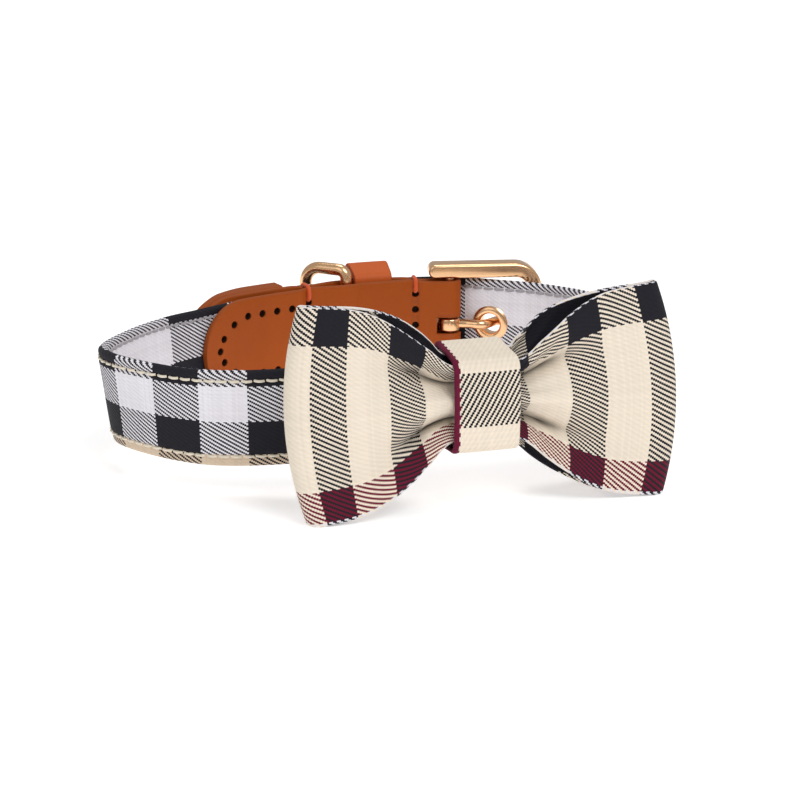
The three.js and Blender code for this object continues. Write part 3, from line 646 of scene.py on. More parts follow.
def stitchBand():
    pitch = band["stitch"]["pitch"]
    for name, side, thread in (("outer", 1, creamThread), ("inner", -1, greyThread)):
        places, facing, heading = [], [], []
        for run in np.arange(1.5 * pitch, bandLength - pitch, pitch):
            station = bandStation(run)
            half = station["height"] / 2
            for v in (half - band["stitchTop"], -half + band["stitchFoot"]):
                w = float(bandHalf(np.array(v), station["height"], 0.6))
                places.append(station["point"] + station["normal"] * side * (w + 0.02)
                              + station["up"] * v)
                facing.append(station["normal"] * side)
                heading.append(station["heading"])
        stitches = sewRun(f"bandStitches.{name}", places, facing, heading, band["stitch"],
                          thread)


stitchBand()
print("band made")


# Bow and knot

bow = {
    "width": 98.5, "height": 52.0, "wall": 1.3, "puff": 5.0, "forward": 4.5, "lean": 7.7,
    "frontPleat": 2.6, "backPleat": 1.2, "cornerPull": 0.085, "creases": 0.22,
    "middle": (9.877, -52.357, 26.248), "pinchHalf": 2.7, "lipHalf": 0.95, "lipsForward": 0.6,
    "pinchFront": 8.8, "pinchBack": 9.29,   # half heights at the pinch
    "valley": {"at": 0.5, "wide": 0.13},   # the folds above and below the middle ridge
    "lowered": 0.016,              # keeps the lower corners off the floor
    "rowSpread": 0.86, "gatherAt": 0.26, "gatherWide": 0.16, "gathers": 7.5, "slack": 0.35,
    # From the knot out to a wing's end, as shares of the full measure: way out, depth open,
    # height in front, height behind, pleat, lips drawn together. Last: mm of the front's valleys
    "rows": [
        (0, 0, 0, 0, 1, 0, 0), (0.09, 0, 0, 0, 1, 0, 0), (0.175, 0.02, 0.02, 0.06, 1, 0, 0.35),
        (0.235, 0.12, 0.12, 0.25, 0.95, 0, 1.1), (0.30, 0.30, 0.28, 0.42, 0.85, 0.05, 2.0),
        (0.38, 0.55, 0.45, 0.58, 0.65, 0.2, 2.2), (0.47, 0.80, 0.62, 0.71, 0.42, 0.5, 1.5),
        (0.57, 0.95, 0.77, 0.82, 0.22, 0.8, 0.6), (0.67, 1, 0.88, 0.90, 0.10, 0.95, 0.15),
        (0.78, 0.90, 0.945, 0.95, 0.04, 1, 0), (0.88, 0.68, 0.98, 0.98, 0, 1, 0),
        (0.955, 0.34, 1, 1, 0, 1, 0), (0.99, -0.35, 1, 1, 0, 1, 0)],
}


def valleys(v):
    return np.exp(-((np.abs(v) - bow["valley"]["at"]) / bow["valley"]["wide"]) ** 2)


def bowPoint(side, row, front, v):
    out, share, frontShare, backShare, pleat, lips, valley, shut = row
    middle = np.array(bow["middle"])
    pinched = bow["pinchFront"] if front else bow["pinchBack"]
    half = pinched + (bow["height"] / 2 - pinched) * (frontShare if front else backShare)
    rise = v * half * (1 - bow["lowered"] * ease(out, 0.5, 0.9))
    fold = pleat * (bow["frontPleat"] if front else bow["backPleat"])
    wave = fold * np.cos(2 * math.pi * v) * (1 - 0.35 * v * v)
    if front:
        wave = wave - valley * valleys(v)
    body = bow["pinchHalf"] + (bow["puff"] - bow["pinchHalf"]) * share
    closing = max(body - bow["lipHalf"], 0) * lips * np.abs(v) ** 2.5
    opened = np.zeros_like(v) if shut else body - closing + wave
    lean = float(ease(out, 0.15, 0.6)) * math.tan(math.radians(bow["lean"]))
    y = -bow["forward"] * out + (-opened if front else opened) + lean * rise \
        - (0 if shut else bow["lipsForward"]) * closing
    x = side * out * bow["width"] / 2 * (1 - bow["cornerPull"] * out * v * v)
    return middle + np.stack([x * np.ones_like(v), y, rise], -1)


def makeBow():
    spread = math.pi / 2 * bow["rowSpread"]
    v = np.sin(np.linspace(-1, 1, 61) * spread) / math.sin(spread)
    rows = [(*row, False) for row in bow["rows"]]
    tip = (1, 0, 1, 1, 0, 1, 0, True)
    ring = ([(1, r, True) for r in rows] + [(1, tip, True)]
            + [(1, r, False) for r in rows[:0:-1]] + [(1, rows[0], False)]
            + [(-1, r, False) for r in rows[1:]] + [(-1, tip, True)]
            + [(-1, r, True) for r in rows[:0:-1]])
    steps = 4
    grid = closedSpline(np.array([bowPoint(s, r, f, v) for s, r, f in ring]), steps)
    outs = closedSpline(np.array([[[s * r[0], 1.0 if f else -1.0, r[6] * f]]
                                  for s, r, f in ring]), steps)[:, 0]
    rise = np.gradient(grid, axis=1)
    around = (np.roll(grid, -1, 0) - np.roll(grid, 1, 0)) / 2
    normal = unit(np.cross(around, rise))
    middleRow = grid[:, len(v) // 2]
    # fine gathers that run out from the knot, and soft slack in the wings
    reach = np.abs(outs[:, :1])
    gather = np.exp(-((reach - bow["gatherAt"]) / bow["gatherWide"]) ** 2)
    angle = v[None, :] * (bow["gathers"] + 2 * np.sin(outs[:, :1] * 9))
    crease = bow["creases"] * gather * (np.sin(angle * 2.6 + outs[:, :1] * 5)
                                        + 0.6 * np.sin(angle * 4.3 - 1.1))
    slack = bow["slack"] * np.sin(reach * 8.2 + v[None, :] * 2.4 + (outs[:, :1] > 0) * 2.0) \
        * ease(reach, 0.35, 0.7) * (1 - ease(reach, 0.9, 1.0)) * (1 - v[None, :] ** 2)
    grid = grid + normal * (crease + slack)[..., None]
    wall = bow["wall"] / 2
    turns = np.linspace(0, math.pi, 6)[1:-1]
    up = unit(rise)
    outer = grid + normal * wall
    inner = (grid - normal * wall)[:, ::-1]
    top = [grid[:, -1] + normal[:, -1] * wall * math.cos(t) + up[:, -1] * wall * math.sin(t)
           for t in turns]
    foot = [grid[:, 0] - normal[:, 0] * wall * math.cos(t) - up[:, 0] * wall * math.sin(t)
            for t in turns]
    rings = np.concatenate([outer, np.stack(top, 1), inner, np.stack(foot, 1)], 1)
    length = np.concatenate([[0], np.cumsum(np.linalg.norm(
        np.diff(np.vstack([middleRow, middleRow[:1]]), axis=0), axis=1))])
    half, seam = bow["height"] / 2, 2  # the weave runs over the front, an edge, the back, an edge
    edge = np.linspace(0, seam, len(turns) + 2)[1:-1]
    aroundV = np.concatenate([v * half, half + edge, 2 * half + seam - v[::-1] * half,
                              3 * half + seam + edge, [3 * half + 2 * seam]])
    uv = np.stack(np.meshgrid(length, aroundV, indexing="ij"), -1)
    # painted shade: the front's valleys near the knot are marked for darkening in the cloth's
    # colour
    near = 1 - ease(reach, 0.17, 0.36)
    deep = np.clip(outs[:, 2:3] / 2.4 * (1 - ease(reach, 0.3, 0.5)) + 0.8 * near, 0, 1) \
        * valleys(v)[None, :] ** 1.8 * np.clip(outs[:, 1:2], 0, 1)
    rim = np.zeros(rings.shape[:2])
    rim[:, :len(v)] = deep
    cloth = loft("bowCloth", rings, bowCheck, closed=True, uv=uv, rim=rim)
    cloth.data.materials.append(bowLining)
    sides, innerStart = rings.shape[1], len(v) + len(turns) - 1
    for face in cloth.data.polygons:
        face.material_index = int(innerStart <= face.index % sides < innerStart + len(v))
    return cloth


knot = {
    "width": 16.5, "wall": 1.3, "crown": 0.7,
    "front": -58.607, "back": -43.757,   # inner faces, y
    "mid": 25.548, "frontHalf": 10.4, "backHalf": 11.975,
    "flare": 0.02, "swell": 0.45, "rolledEdge": 0.25,   # of the front face
}


def roundLoop(corners, steps):  # closed line with round corners, from (a, b, radius)
    line = []
    for i, (a, b, r) in enumerate(corners):
        p = np.array([a, b])
        before = unit(np.array(corners[i - 1][:2]) - p)
        after = unit(np.array(corners[(i + 1) % len(corners)][:2]) - p)
        half = math.acos(max(-1, min(1, before @ after))) / 2
        centre = p + unit(before + after) * r / math.sin(half)
        start = p + before * r / math.tan(half) - centre
        toCorner = p - centre
        turn = 1 if start[0] * toCorner[1] - start[1] * toCorner[0] > 0 else -1
        for k in range(steps + 1):
            t = turn * (math.pi - 2 * half) * k / steps
            c, s = math.cos(t), math.sin(t)
            line.append(centre + np.array([start[0] * c - start[1] * s,
                                           start[0] * s + start[1] * c]))
    return np.array(line)


def evenLoop(line, pitch):  # the same closed line with even spacing
    closed = np.vstack([line, line[:1]])
    run = np.concatenate([[0], np.cumsum(np.linalg.norm(np.diff(closed, axis=0), axis=1))])
    at = np.linspace(0, run[-1], int(run[-1] / pitch) + 1)[:-1]
    return np.stack([np.interp(at, run, closed[:, i]) for i in range(closed.shape[1])], 1), \
        np.append(at, run[-1])


def makeKnot():
    half = knot["wall"] / 2
    front, back, mid = knot["front"], knot["back"], knot["mid"]
    corners = [
        (front - half, mid - knot["frontHalf"] - half, 2 + half),
        (front - half - knot["crown"], mid, 24),
        (front - half, mid + knot["frontHalf"] + half, 2 + half),
        (back + half, mid + knot["backHalf"] + half, 0.8 + half),
        (back + half, mid - knot["backHalf"] - half, 0.8 + half)]
    line, run = evenLoop(roundLoop(corners, 12), 0.8)
    heading = loopHeading(line)
    middleX = bow["middle"][0]
    profile = roundedProfile(knot["wall"], knot["width"], 0.6, 4, 18)
    rings = []
    start = run[np.argmin(np.abs(line[:, 1] - mid) + (line[:, 0] > -50) * 99)]
    for here, ahead in zip(line, heading):
        normal = np.array([0, ahead[1], -ahead[0]])
        isFront = 1 - float(ease(here[0], front - 2, front + 6))
        grow = 1 + knot["flare"] * isFront
        across, side = profile[:, 1], knot["width"] / 2
        swell = knot["swell"] * isFront * (1 - (across / side) ** 2)
        roll = knot["rolledEdge"] * isFront * np.exp(-((across + side - 0.6) / 0.7) ** 2)
        rings.append(np.stack([
            middleX + profile[:, 1] * grow, here[0] + normal[1] * profile[:, 0] - swell - roll,
            here[1] + normal[2] * profile[:, 0]], 1))
    across = np.append(-profile[:, 1], -profile[0, 1])
    rise = -(run - start)
    if heading[np.argmin(np.abs(run[:-1] - start))][1] > 0:
        rise = -rise
    uv = np.stack(np.meshgrid(rise, across, indexing="ij"), -1)
    return loft("knotCloth", rings, knotCheck, closed=True, uv=uv)


bowCloth = makeBow()
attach(bowCloth, "collar")
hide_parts("bow")
knotCloth = makeKnot()
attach(knotCloth, "collar")
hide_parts("knot")
print("bow and knot made")


# Leather

edgeMost, inHoleShade = 1.05, 8.0    # values of the point mark: the most on an edge, and inside a hole, as painted shade
# painted shade inside the stitch holes
holeShadeColour = "#2c1307"


def leatherFinish(name, colour, edge, gloss):
    finish = Finish(name, Specular_IOR_Level=0.2, Coat_Roughness=0.4)
    place = finish.place()
    cloud = finish.noise(place, 55.0, 3.0)
    streak = finish.noise(finish.stretched(place, (1.0, 1.0, 0.22)), 260.0, 3.0)
    pores = finish.node("ShaderNodeTexVoronoi", {"feature": "DISTANCE_TO_EDGE"},
                        {"Vector": place, "Scale": 1500.0})
    edgeAndHoleShade = finish.pointValue("rim")
    rim = edgeAndHoleShade.atMost(1.0)
    base = finish.mix(cloud, tint(colour, 0.86), tint(colour, 1.16))
    base = finish.mix(streak * 0.22, base, tint(colour, 0.70))
    worn = finish.noise(place, 900.0, 2.0)
    base = finish.mix(rim * (worn * 0.25 + 0.62), base, tint(edge))
    # painted shade inside the stitch holes
    base = finish.mix((edgeAndHoleShade - edgeMost).atLeast(0.0), base, tint(holeShadeColour))
    finish.feed("Base Color", base)
    finish.feed("Roughness", cloud * 0.14 + streak * 0.10 + rim * 0.12 + gloss)
    finish.feed("Coat Weight", 0.05 - rim * 0.04)
    grain = finish.bump(pores.atMost(0.25), 0.00016, 0.35)
    finish.feed("Normal", finish.bump(streak, 0.0002, 0.25, grain))
    return finish.material


tanLeather = leatherFinish("tanLeather", "#a44a0b", "#944a20", 0.44)
keeperLeather = leatherFinish("keeperLeather", "#c75c22", "#983f17", 0.42)

seatLine = {"centre": (14.087, -52.085), "radius": 105.0, "mid": 17.498, "barAngle": 78.0}
leather = {
    "thick": 1.6, "height": 27.0, "length": 78.0, "neck": 25.5, "shoulder": (7, 13),
    "slot": (4.8, 3.8),            # height and reach along the fold, for the prong
    "stitchNear": 10.0, "stitchFar": 42.0, "edgeHoles": 5.2, "holePitch": 4.6, "hole": 2.4,
    "holesPointed": 0.36,          # the row of holes runs to a blunt point at the tip
    "holesUp": 0.3, "holeDepth": 1.7,
    "holeShadeDepths": (0.4, 1.5),        # the depths between which a hole's wall is darkened as painted shade
    "seamHoles": (-9, -4.5, 0, 4.5, 9), "seamDip": 0.3,
    "threadRadius": 0.6, "threadFoot": 10.2,
    # half the space between the layers, along the seat line
    "space": [(0, 1.6), (7, 0.6), (10, 0.3), (16.2, 1.1), (25.5, 1.1), (28.1, 2.0), (31.5, 2.0),
              (42, 0.3), (45.2, 1.8), (79, 1.8)],
}


def seat(along, offset=0.0, z=None):
    angle = math.radians(seatLine["barAngle"]) + along / seatLine["radius"]
    normal = np.array([math.cos(angle), math.sin(angle), 0])
    point = np.array([*seatLine["centre"], seatLine["mid"] if z is None else z]) \
        + normal * (seatLine["radius"] + offset)
    return {"point": point, "normal": normal, "up": np.array([0, 0, 1.0]),
            "heading": np.array([-normal[1], normal[0], 0])}


def tipHeight(fromEnd, height, least):
    radius = height / 2
    if fromEnd >= radius:
        return height
    return max(least, 2 * math.sqrt(max(radius ** 2 - (radius - fromEnd) ** 2, 0)))


def stops(end, tip, start, pitch):  # places along a strip, close together at its round tip
    near = end - tip * (1 - np.cos(np.linspace(0, math.pi / 2, 22)))
    return np.concatenate([near[near > end - tip], np.arange(end - tip, start, -pitch)])


def chapeTall(along):
    full = leather["neck"] + (leather["height"] - leather["neck"]) \
        * float(ease(along, *leather["shoulder"]))
    return min(full, tipHeight(leather["length"] - along, leather["height"], 1.2))


def leatherRings(stations, thick):
    rings, rims = [], []
    for station in stations:
        profile = roundedProfile(thick, station["tall"], 0.55, 4, 12)
        flat = profile[:, 0] < 0.1 - thick / 2
        dip = station.get("dip", 0) * (1 - ease(np.abs(profile[:, 1]), 10, 12))
        profile = np.stack([profile[:, 0] + flat * dip, profile[:, 1]], 1)
        rings.append(placeRing(station, profile))
        rims.append(rimOf(profile, thick))
    return rings, rims


def makeChape():
    thick = leather["thick"]
    seams = (leather["stitchNear"], leather["stitchFar"])
    line = [a for a in stops(leather["length"], 13.5, 0.8, 1.5)
            if a > 0.8 and min(abs(a - seam) for seam in seams) > 2.6]
    line = sorted(line + [seam + d for seam in seams for d in np.linspace(-2.2, 2.2, 12)],
                  reverse=True)

    def layer(along, side):
        offset = side * (easedTable(leather["space"], along) + thick / 2)
        place = seat(along, offset)
        dip = sum(leather["seamDip"] * math.exp(-((along - seam) / 0.8) ** 2) for seam in seams)
        return {**place, "normal": -side * place["normal"], "tall": chapeTall(along),
                "dip": dip}

    fold = []
    heel, turnRadius = seat(0), leather["space"][0][1] + thick / 2
    for turn in np.linspace(0, math.pi, 17):
        out = -heel["normal"] * math.cos(turn) - heel["heading"] * math.sin(turn)
        fold.append({"point": heel["point"] + out * turnRadius, "normal": -out,
                     "up": heel["up"], "tall": chapeTall(0)})
    stations = [layer(a, -1) for a in line] + fold + [layer(a, 1) for a in line[::-1]]
    rings, rims = leatherRings(stations, thick)
    return loft("chapeLeather", rings, tanLeather, rim=rims)


def boxCutter(name, place, along, across, up):
    corners = np.array([(-1, -1), (1, -1), (1, 1), (-1, 1)]) * (across / 2, up / 2)
    ends = [{**place, "point": place["point"] + place["heading"] * a}
            for a in (-along / 2, along / 2)]
    return loft(name, [placeRing(end, corners) for end in ends], tanLeather)


def outlineHoles(length, height, inset, pitch, start):  # (along, rise) round a tip, evenly
    radius = height / 2 - inset
    straight = length - height / 2 - start
    total = 2 * straight + math.pi * radius
    count = int(total / pitch)
    places = []
    for k in range(count + 1):
        s = k * total / count
        if s < straight:
            places.append((start + s, radius))
        elif s < straight + math.pi * radius:
            t = (s - straight) / radius
            narrowed = 1 - leather["holesPointed"] * math.sin(t)
            places.append((length - height / 2 + radius * math.sin(t),
                           radius * math.cos(t) * narrowed))
        else:
            places.append((start + total - s, -radius))
    return places


def holeTree():
    tree = Tree("stitchHoles", [
        ("Hole radius", "Float", 0.0006), ("Depth", "Float", 0.002), ("Places", "Object", None),
        ("Material", "Material", None)])
    cone = tree.node("GeometryNodeMeshCone", {}, {
        "Vertices": 12, "Radius Top": tree.input("Hole radius"),
        "Radius Bottom": tree.input("Hole radius") * 0.55, "Depth": tree.input("Depth")})
    sunk = tree.node("ShaderNodeCombineXYZ", {}, (0.0, 0.0, tree.input("Depth") * -0.8))
    placed = tree.node("GeometryNodeTransform", {}, {"Geometry": cone, "Translation": sunk})
    places = tree.node("GeometryNodeObjectInfo", {}, {0: tree.input("Places")}, out=4)
    punches = tree.node("GeometryNodeRealizeInstances", {}, {0: tree.copies(places, placed)})
    holed = tree.node("GeometryNodeMeshBoolean", {"operation": "DIFFERENCE", "solver": "EXACT"},
                      {0: tree.input("Geometry"), 1: punches})
    return tree.finish(holed)


stitchHoles = holeTree()


def punchHoles(piece, places, facing, heading, material):
    holes = pointSet(f"{piece.name}.holes", places, facing, heading)
    radius = leather["hole"] / 2 * mm
    useTree(piece, stitchHoles, {"Hole radius": radius, "Depth": leather["holeDepth"] * mm,
                                 "Places": holes, "Material": material})
    bpy.data.objects.remove(holes)
    # points on the hole walls are marked for painted shade
    least, most = leather["holeShadeDepths"]
    holeShadeMarks = piece.data.attributes["rim"].data
    points = np.array([corner.co for corner in piece.data.vertices])
    for place, out in zip(places, facing):
        offset = points - np.asarray(place) * mm
        deep = offset @ out
        wide = np.linalg.norm(offset - np.outer(deep, out), axis=1)
        inside = (wide < radius) & (deep < -least * mm) & (deep > -most * mm)
        for k in np.flatnonzero(inside):
            holeShadeMarks[int(k)].value = inHoleShade


def chapeFace(along, rise, side):  # a place on the chape's shown face
    offset = side * (easedTable(leather["space"], along) + leather["thick"])
    place = seat(along, offset, seatLine["mid"] + rise)
    return place["point"], place["normal"] * side, place["heading"]


chapeLeather = makeChape()
slotUp, slotAlong = leather["slot"]
punch(chapeLeather, boxCutter("prongSlot", seat(0), 2 * slotAlong, 2.4 * slotAlong, slotUp))
holePlaces = []
for side in (-1, 1):
    spots = outlineHoles(leather["length"], leather["height"], leather["edgeHoles"],
                         leather["holePitch"], leather["stitchFar"] + 6)
    spots += [(leather[seam], r) for seam in ("stitchNear", "stitchFar")
              for r in leather["seamHoles"]]
    holePlaces += [chapeFace(a, r + leather["holesUp"], side) for a, r in spots]
punchHoles(chapeLeather, *zip(*holePlaces), tanLeather)
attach(chapeLeather, "collar")
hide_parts("chape")
print("chape made")


def edgeThread(name, along, end):  # one turn of thread over the chape's edge
    face = easedTable(leather["space"], along) + leather["thick"]
    edge, low = chapeTall(along) / 2, leather["threadFoot"]
    path = [(face - 0.5, low - 0.2), (face + 0.15, low + 0.5), (face + 0.2, edge - 0.6),
            (face - 0.4, edge + 0.25), (0, edge + 0.35), (0.4 - face, edge + 0.25),
            (-face - 0.2, edge - 0.6), (-face - 0.15, low + 0.5), (0.5 - face, low - 0.2)]
    knots = [seat(along, offset, seatLine["mid"] + end * rise)["point"] for offset, rise in path]
    line = splinePoints(knots, np.linspace(0, 1, 60))
    return tube(name, line, [leather["threadRadius"]] * 60, 10, orangeThread)


threadEnds = [(leather[seam], end) for end in (1, -1) for seam in ("stitchNear", "stitchFar")]
for k, (along, end) in enumerate(threadEnds):
    thread = edgeThread(f"edgeThread.{k + 1}", along, end)
    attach(thread, "collar")


strapTip = {
    "from": 47.0, "length": 31.0, "thick": 6.0, "closed": 2.8, "offset": 6.7, "height": 27.0,
    "pocket": 9.0, "thinTo": 24.0,  # lengths from its open end
    "pocketThick": 3.6, "pocketHeight": 25.6,
}


def makeTip():
    start, end = strapTip["from"], strapTip["from"] + strapTip["length"]
    line = [a for a in stops(end, 13.5, start, 1.2) if a > start + 0.3][::-1]
    line = [start] + line
    rings, rims = [], []
    for along in line:
        closing = float(ease(along, start + strapTip["pocket"], start + strapTip["thinTo"]))
        thick = strapTip["thick"] + (strapTip["closed"] - strapTip["thick"]) * closing
        place = seat(along, strapTip["offset"] - (strapTip["thick"] - thick) / 2)
        tall = tipHeight(end - along, strapTip["height"], 1.2)
        profile = roundedProfile(thick, tall, 0.9, 4, 12)
        rings.append(placeRing(place, profile))
        rims.append(rimOf(profile, thick))
    return loft("strapTipLeather", rings, tanLeather, rim=rims)


tipLeather = makeTip()
pocketProfile = roundedProfile(strapTip["pocketThick"], strapTip["pocketHeight"], 0.8, 3, 2)
pocket = loft("tipPocket", [
    placeRing(seat(strapTip["from"] + d, strapTip["offset"]), pocketProfile)
    for d in (-4, 0, 3, 6, strapTip["pocket"])], tanLeather)
punch(tipLeather, pocket)
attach(tipLeather, "collar")
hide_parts("strap_tip")


keeper = {"width": 11.0, "leather": 1.6, "fromBar": 16.5, "inner": 0.8, "outer": 7.2,
          "foot": 3.698, "top": 31.298, "riseTop": 3.3, "riseFoot": 1.3}


def makeKeeper():
    half = keeper["leather"] / 2
    corners = [
        (keeper["inner"] - half, keeper["foot"] - half, 0.8 + half),
        (keeper["outer"] + half, keeper["foot"] - half - keeper["riseFoot"], 1.6 + half),
        (keeper["outer"] + half, keeper["top"] + half + keeper["riseTop"], 1.6 + half),
        (keeper["inner"] - half, keeper["top"] + half, 0.8 + half)]
    line, _ = evenLoop(roundLoop(corners, 8), 0.7)
    heading = loopHeading(line)
    profile = roundedProfile(keeper["leather"], keeper["width"], 0.5, 4, 8)
    middle = keeper["fromBar"] + keeper["width"] / 2
    rings = []
    for here, ahead in zip(line, heading):
        across = (ahead[1], -ahead[0])
        rings.append([seat(middle + v, here[0] + across[0] * w, here[1] + across[1] * w)["point"]
                      for w, v in profile])
    rims = [rimOf(profile, keeper["leather"])] * len(rings)
    return loft("keeperLeather", rings, keeperLeather, closed=True, rim=rims)


keeperPiece = makeKeeper()
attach(keeperPiece, "collar")
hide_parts("keeper")
print("leather made")


# Metal

def metalFinish(name, colour, rough):
    finish = Finish(name, Metallic=1.0, Anisotropic=0.0)
    place = finish.place()
    cloud = finish.noise(place, 140.0, 3.0)
    scratch = finish.noise(finish.stretched(place, (1.0, 1.0, 7.0)), 700.0, 4.0)
    finish.feed("Base Color", finish.mix(cloud, tint(colour, 0.93), tint(colour, 1.04)))
    finish.feed("Roughness", cloud * 0.06 + scratch * 0.06 + rough)
    finish.feed("Normal", finish.bump(scratch, 0.000006, 0.15))
    return finish.material


paleGold = metalFinish("paleGold", "#f6c798", 0.17)

hardware = {
    "barRadius": 1.3, "railWidth": 4.0, "railClear": 0.75, "frameLength": 32.0,
    "frameDepth": 6.5, "frameInside": 1.8, "heelInset": 6.0, "corner": 7.5, "bevel": 0.9,
    "wire": 3.4, "dPlace": (6.285, 52.624, 18.198), "dSwing": 46.716, "dReach": 13.5, "dBow": 1.2,
    "dHalf": 16.2, "dAlong": 29.8,
    "prongRadius": 1.3, "prongWidth": 3.6, "eyeBore": 1.6, "eyeRadius": 3.0,
}


def makeDRing():
    place = seat(hardware["dAlong"])
    swing = math.radians(hardware["dSwing"])
    out = place["heading"] * math.cos(swing) + place["normal"] * math.sin(swing)
    half, reach, bowed = hardware["dHalf"], hardware["dReach"], hardware["dBow"]
    corners = [(0, -half, 2.2), (reach - bowed, -half, 4.6), (reach, 0, 12),
               (reach - bowed, half, 4.6), (0, half, 2.2)]
    flat, _ = evenLoop(roundLoop(corners, 16), 0.7)
    side = unit(np.cross(out, (0, 0, 1)))
    turns = np.linspace(0, 2 * math.pi, 20, endpoint=False)
    ahead = loopHeading(flat)
    centre = np.array(hardware["dPlace"])
    rings = []
    for here, heading in zip(flat, ahead):
        across = out * heading[1] - np.array([0, 0, heading[0]])
        point = centre + out * here[0] + np.array([0, 0, here[1]])
        rings.append([point + hardware["wire"] / 2 * (across * math.cos(t) + side * math.sin(t))
                      for t in turns])
    return loft("dRing", rings, paleGold, closed=True)


def makeFrame():
    h = hardware
    bevel, rail = h["bevel"], h["railWidth"]
    openHalf = band["height"] / 2 + h["railClear"]
    outHalf = openHalf + rail - bevel
    left, right = -h["heelInset"] + bevel, h["frameLength"] - h["heelInset"] - bevel
    bendOut, bendIn = h["corner"] - bevel, max(h["corner"] - rail, 0.5)
    innerRight = h["frameLength"] - h["heelInset"] - rail
    end = (rail - 2 * bevel) / 2
    outline = arc((right - bendOut, -outHalf + bendOut), bendOut, -90, 0, 16)
    outline += arc((right - bendOut, outHalf - bendOut), bendOut, 0, 90, 16)
    outline += arc((left + end, outHalf - end), end, 90, 270, 14)
    outline += arc((innerRight - bendIn, openHalf - bendIn), bendIn + bevel, 90, 0, 14)
    outline += arc((innerRight - bendIn, -openHalf + bendIn), bendIn + bevel, 0, -90, 14)
    outline += arc((left + end, -outHalf + end), end, 90, 270, 14)
    outline = np.array(outline)
    ahead = loopHeading(outline)
    outward = np.stack([ahead[:, 1], -ahead[:, 0]], 1)
    heel = seat(0)
    depth = h["frameDepth"]
    levels = [(bevel * math.sin(t), bevel * (1 - math.cos(t)))
              for t in np.linspace(0, math.pi / 2, 5)]
    steps = [(grow, low) for grow, low in levels] + [
        (grow, depth - low) for grow, low in levels[::-1]]
    rings = []
    for grow, deep in steps:
        ring = outline + outward * grow
        out = deep - h["frameInside"]
        rings.append(heel["point"] - heel["heading"] * ring[:, :1] + heel["up"] * ring[:, 1:]
                     + heel["normal"] * out)
    return loft("buckleFrame", rings, paleGold)


def makeHeelBar():
    heel = seat(0)
    half = band["height"] / 2 + hardware["railClear"] + 1.2
    rise = np.linspace(-half, half, 9)
    line = heel["point"] + heel["up"] * rise[:, None]
    return tube("heelBar", line, [hardware["barRadius"]] * len(line), 20, paleGold)


def makeProng():
    h, heel, used = hardware, seat(0), eyeletStations[1]
    tall = eyelets["flange"] + band["thick"] / 2 - eyelets["press"] + eyelets["gap"]
    clear = tall + eyelets["gap"] + h["prongRadius"]
    endBar = h["frameLength"] - h["heelInset"] - h["railWidth"] / 2
    over = h["frameDepth"] - h["frameInside"] + 0.3 + h["prongRadius"]

    def beside(station, right, out):
        return station["point"] - station["heading"] * right + station["normal"] * out

    knots = [beside(*knot) for knot in (
        (heel, 2.3, -0.2), (used, -6, -clear), (used, -2.4, -clear + 0.1),
        (used, -0.8, -tall + 0.2), (used, 0.7, tall - 0.2), (used, 2.6, clear),
        (heel, endBar - 3, over), (heel, endBar, over), (heel, endBar + 2.6, over - 0.1))]
    shares = np.linspace(0, 1, 90)
    line = splinePoints(knots, shares)
    rounded = np.clip((shares - 0.955) / 0.045, 0, 1)  # towards the tip
    radii = h["prongRadius"] * np.sqrt(np.clip(1 - rounded ** 2, 0.01, 1))
    return tube("prongRod", line, radii, 16, paleGold)


dRing = makeDRing()
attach(dRing, "d_ring")
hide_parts("d_ring")
framePiece = makeFrame()
heelBar = makeHeelBar()
prong = makeProng()


def mirrored(half):  # a lathe's closed profile from its outer half
    return [(r, -out) for r, out in half] + half[::-1]


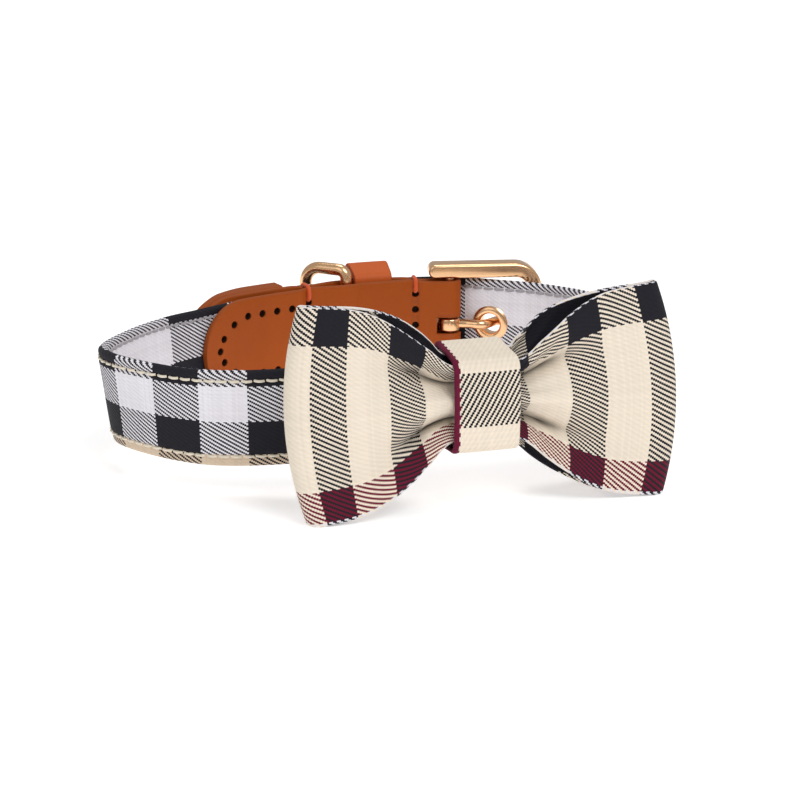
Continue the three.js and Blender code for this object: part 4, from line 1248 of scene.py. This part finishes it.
eyeIn, eyeOut, eyeHalf = hardware["eyeBore"], hardware["eyeRadius"], hardware["prongWidth"] / 2
heelTurned = {"point": seat(0)["point"], "normal": np.array([0, 0, 1.0]),
              "up": seat(0)["heading"]}
prongEye = lathe("prongEye", mirrored([
    (eyeIn, eyeHalf), (eyeOut - 0.5, eyeHalf), (eyeOut - 0.15, eyeHalf - 0.15),
    (eyeOut, eyeHalf - 0.5)]), 28, [heelTurned], paleGold)
bore, radius = eyelets["bore"], eyelets["radius"]
flangeRoot = band["thick"] / 2 - eyelets["press"] + eyelets["gap"]
flangeIn, flangeOut = flangeRoot - 0.25, flangeRoot + eyelets["flange"]
eyeletProfile = mirrored([
    (bore, flangeOut - 0.55), (bore + 0.12, flangeOut - 0.25), (bore + 0.5, flangeOut - 0.03),
    (bore + 1.1, flangeOut), (radius - 0.5, flangeOut - 0.22), (radius, flangeIn),
    (bore + eyelets["wall"], flangeIn)])
for piece, node in ((framePiece, "buckle_frame"), (heelBar, None), (prong, "buckle_prong"),
                    (prongEye, None)):
    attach(piece, "collar")
    if node:
        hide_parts(node)
for k, station in enumerate(eyeletStations):
    eyelet = lathe(f"eyelet.{k + 1}", eyeletProfile, 32, [station], paleGold)
    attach(eyelet, "collar")
    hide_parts(f"eyelet_{k + 1}")
print("metal made")


# Floor and light

studio = {
    "floor": ("#f4f4f4", "#f8f8f8"), "floorHalf": 9000, "glow": 0.42, "world": 0.42,
    "aim": (0, 0, 0.02),           # metres, as the lights
    "lights": [("keyLight", (0.35, -1.0, 1.3), 0.9, 11.0),
               ("fillLight", (-1.1, -0.7, 0.9), 1.0, 2.0),
               ("topLight", (0.1, 0.5, 1.5), 0.8, 5.0)],
}


def addFloor():
    finish = Finish("paleFloor", Roughness=0.7, Specular_IOR_Level=0.2)
    cloud = finish.noise(finish.place(), 3.0)
    finish.feed("Base Color", finish.mix(cloud, *[tint(code) for code in studio["floor"]]))
    finish.feed("Emission Color", (1, 1, 1, 1))
    finish.feed("Emission Strength", studio["glow"])
    size = studio["floorHalf"]
    floor = meshPiece("floor", [(-size, -size, 0), (size, -size, 0), (size, size, 0),
                                (-size, size, 0)], [(0, 1, 2, 3)], finish.material)


def addLight(name, place, size, power):
    data = bpy.data.lights.new(name, "AREA")
    data.shape, data.size, data.energy = "DISK", size, power
    aimAt(addObject(name, data), place, studio["aim"])


def addWorld():
    world = bpy.data.worlds.new("studioWorld")
    world.use_nodes = True
    inputs = world.node_tree.nodes["Background"].inputs
    inputs["Color"].default_value = (1, 1, 1, 1)
    inputs["Strength"].default_value = studio["world"]
    bpy.context.scene.world = world


addFloor()
addWorld()
for light in studio["lights"]:
    addLight(*light)
bpy.context.scene.view_settings.view_transform = "Standard"
print("studio made")
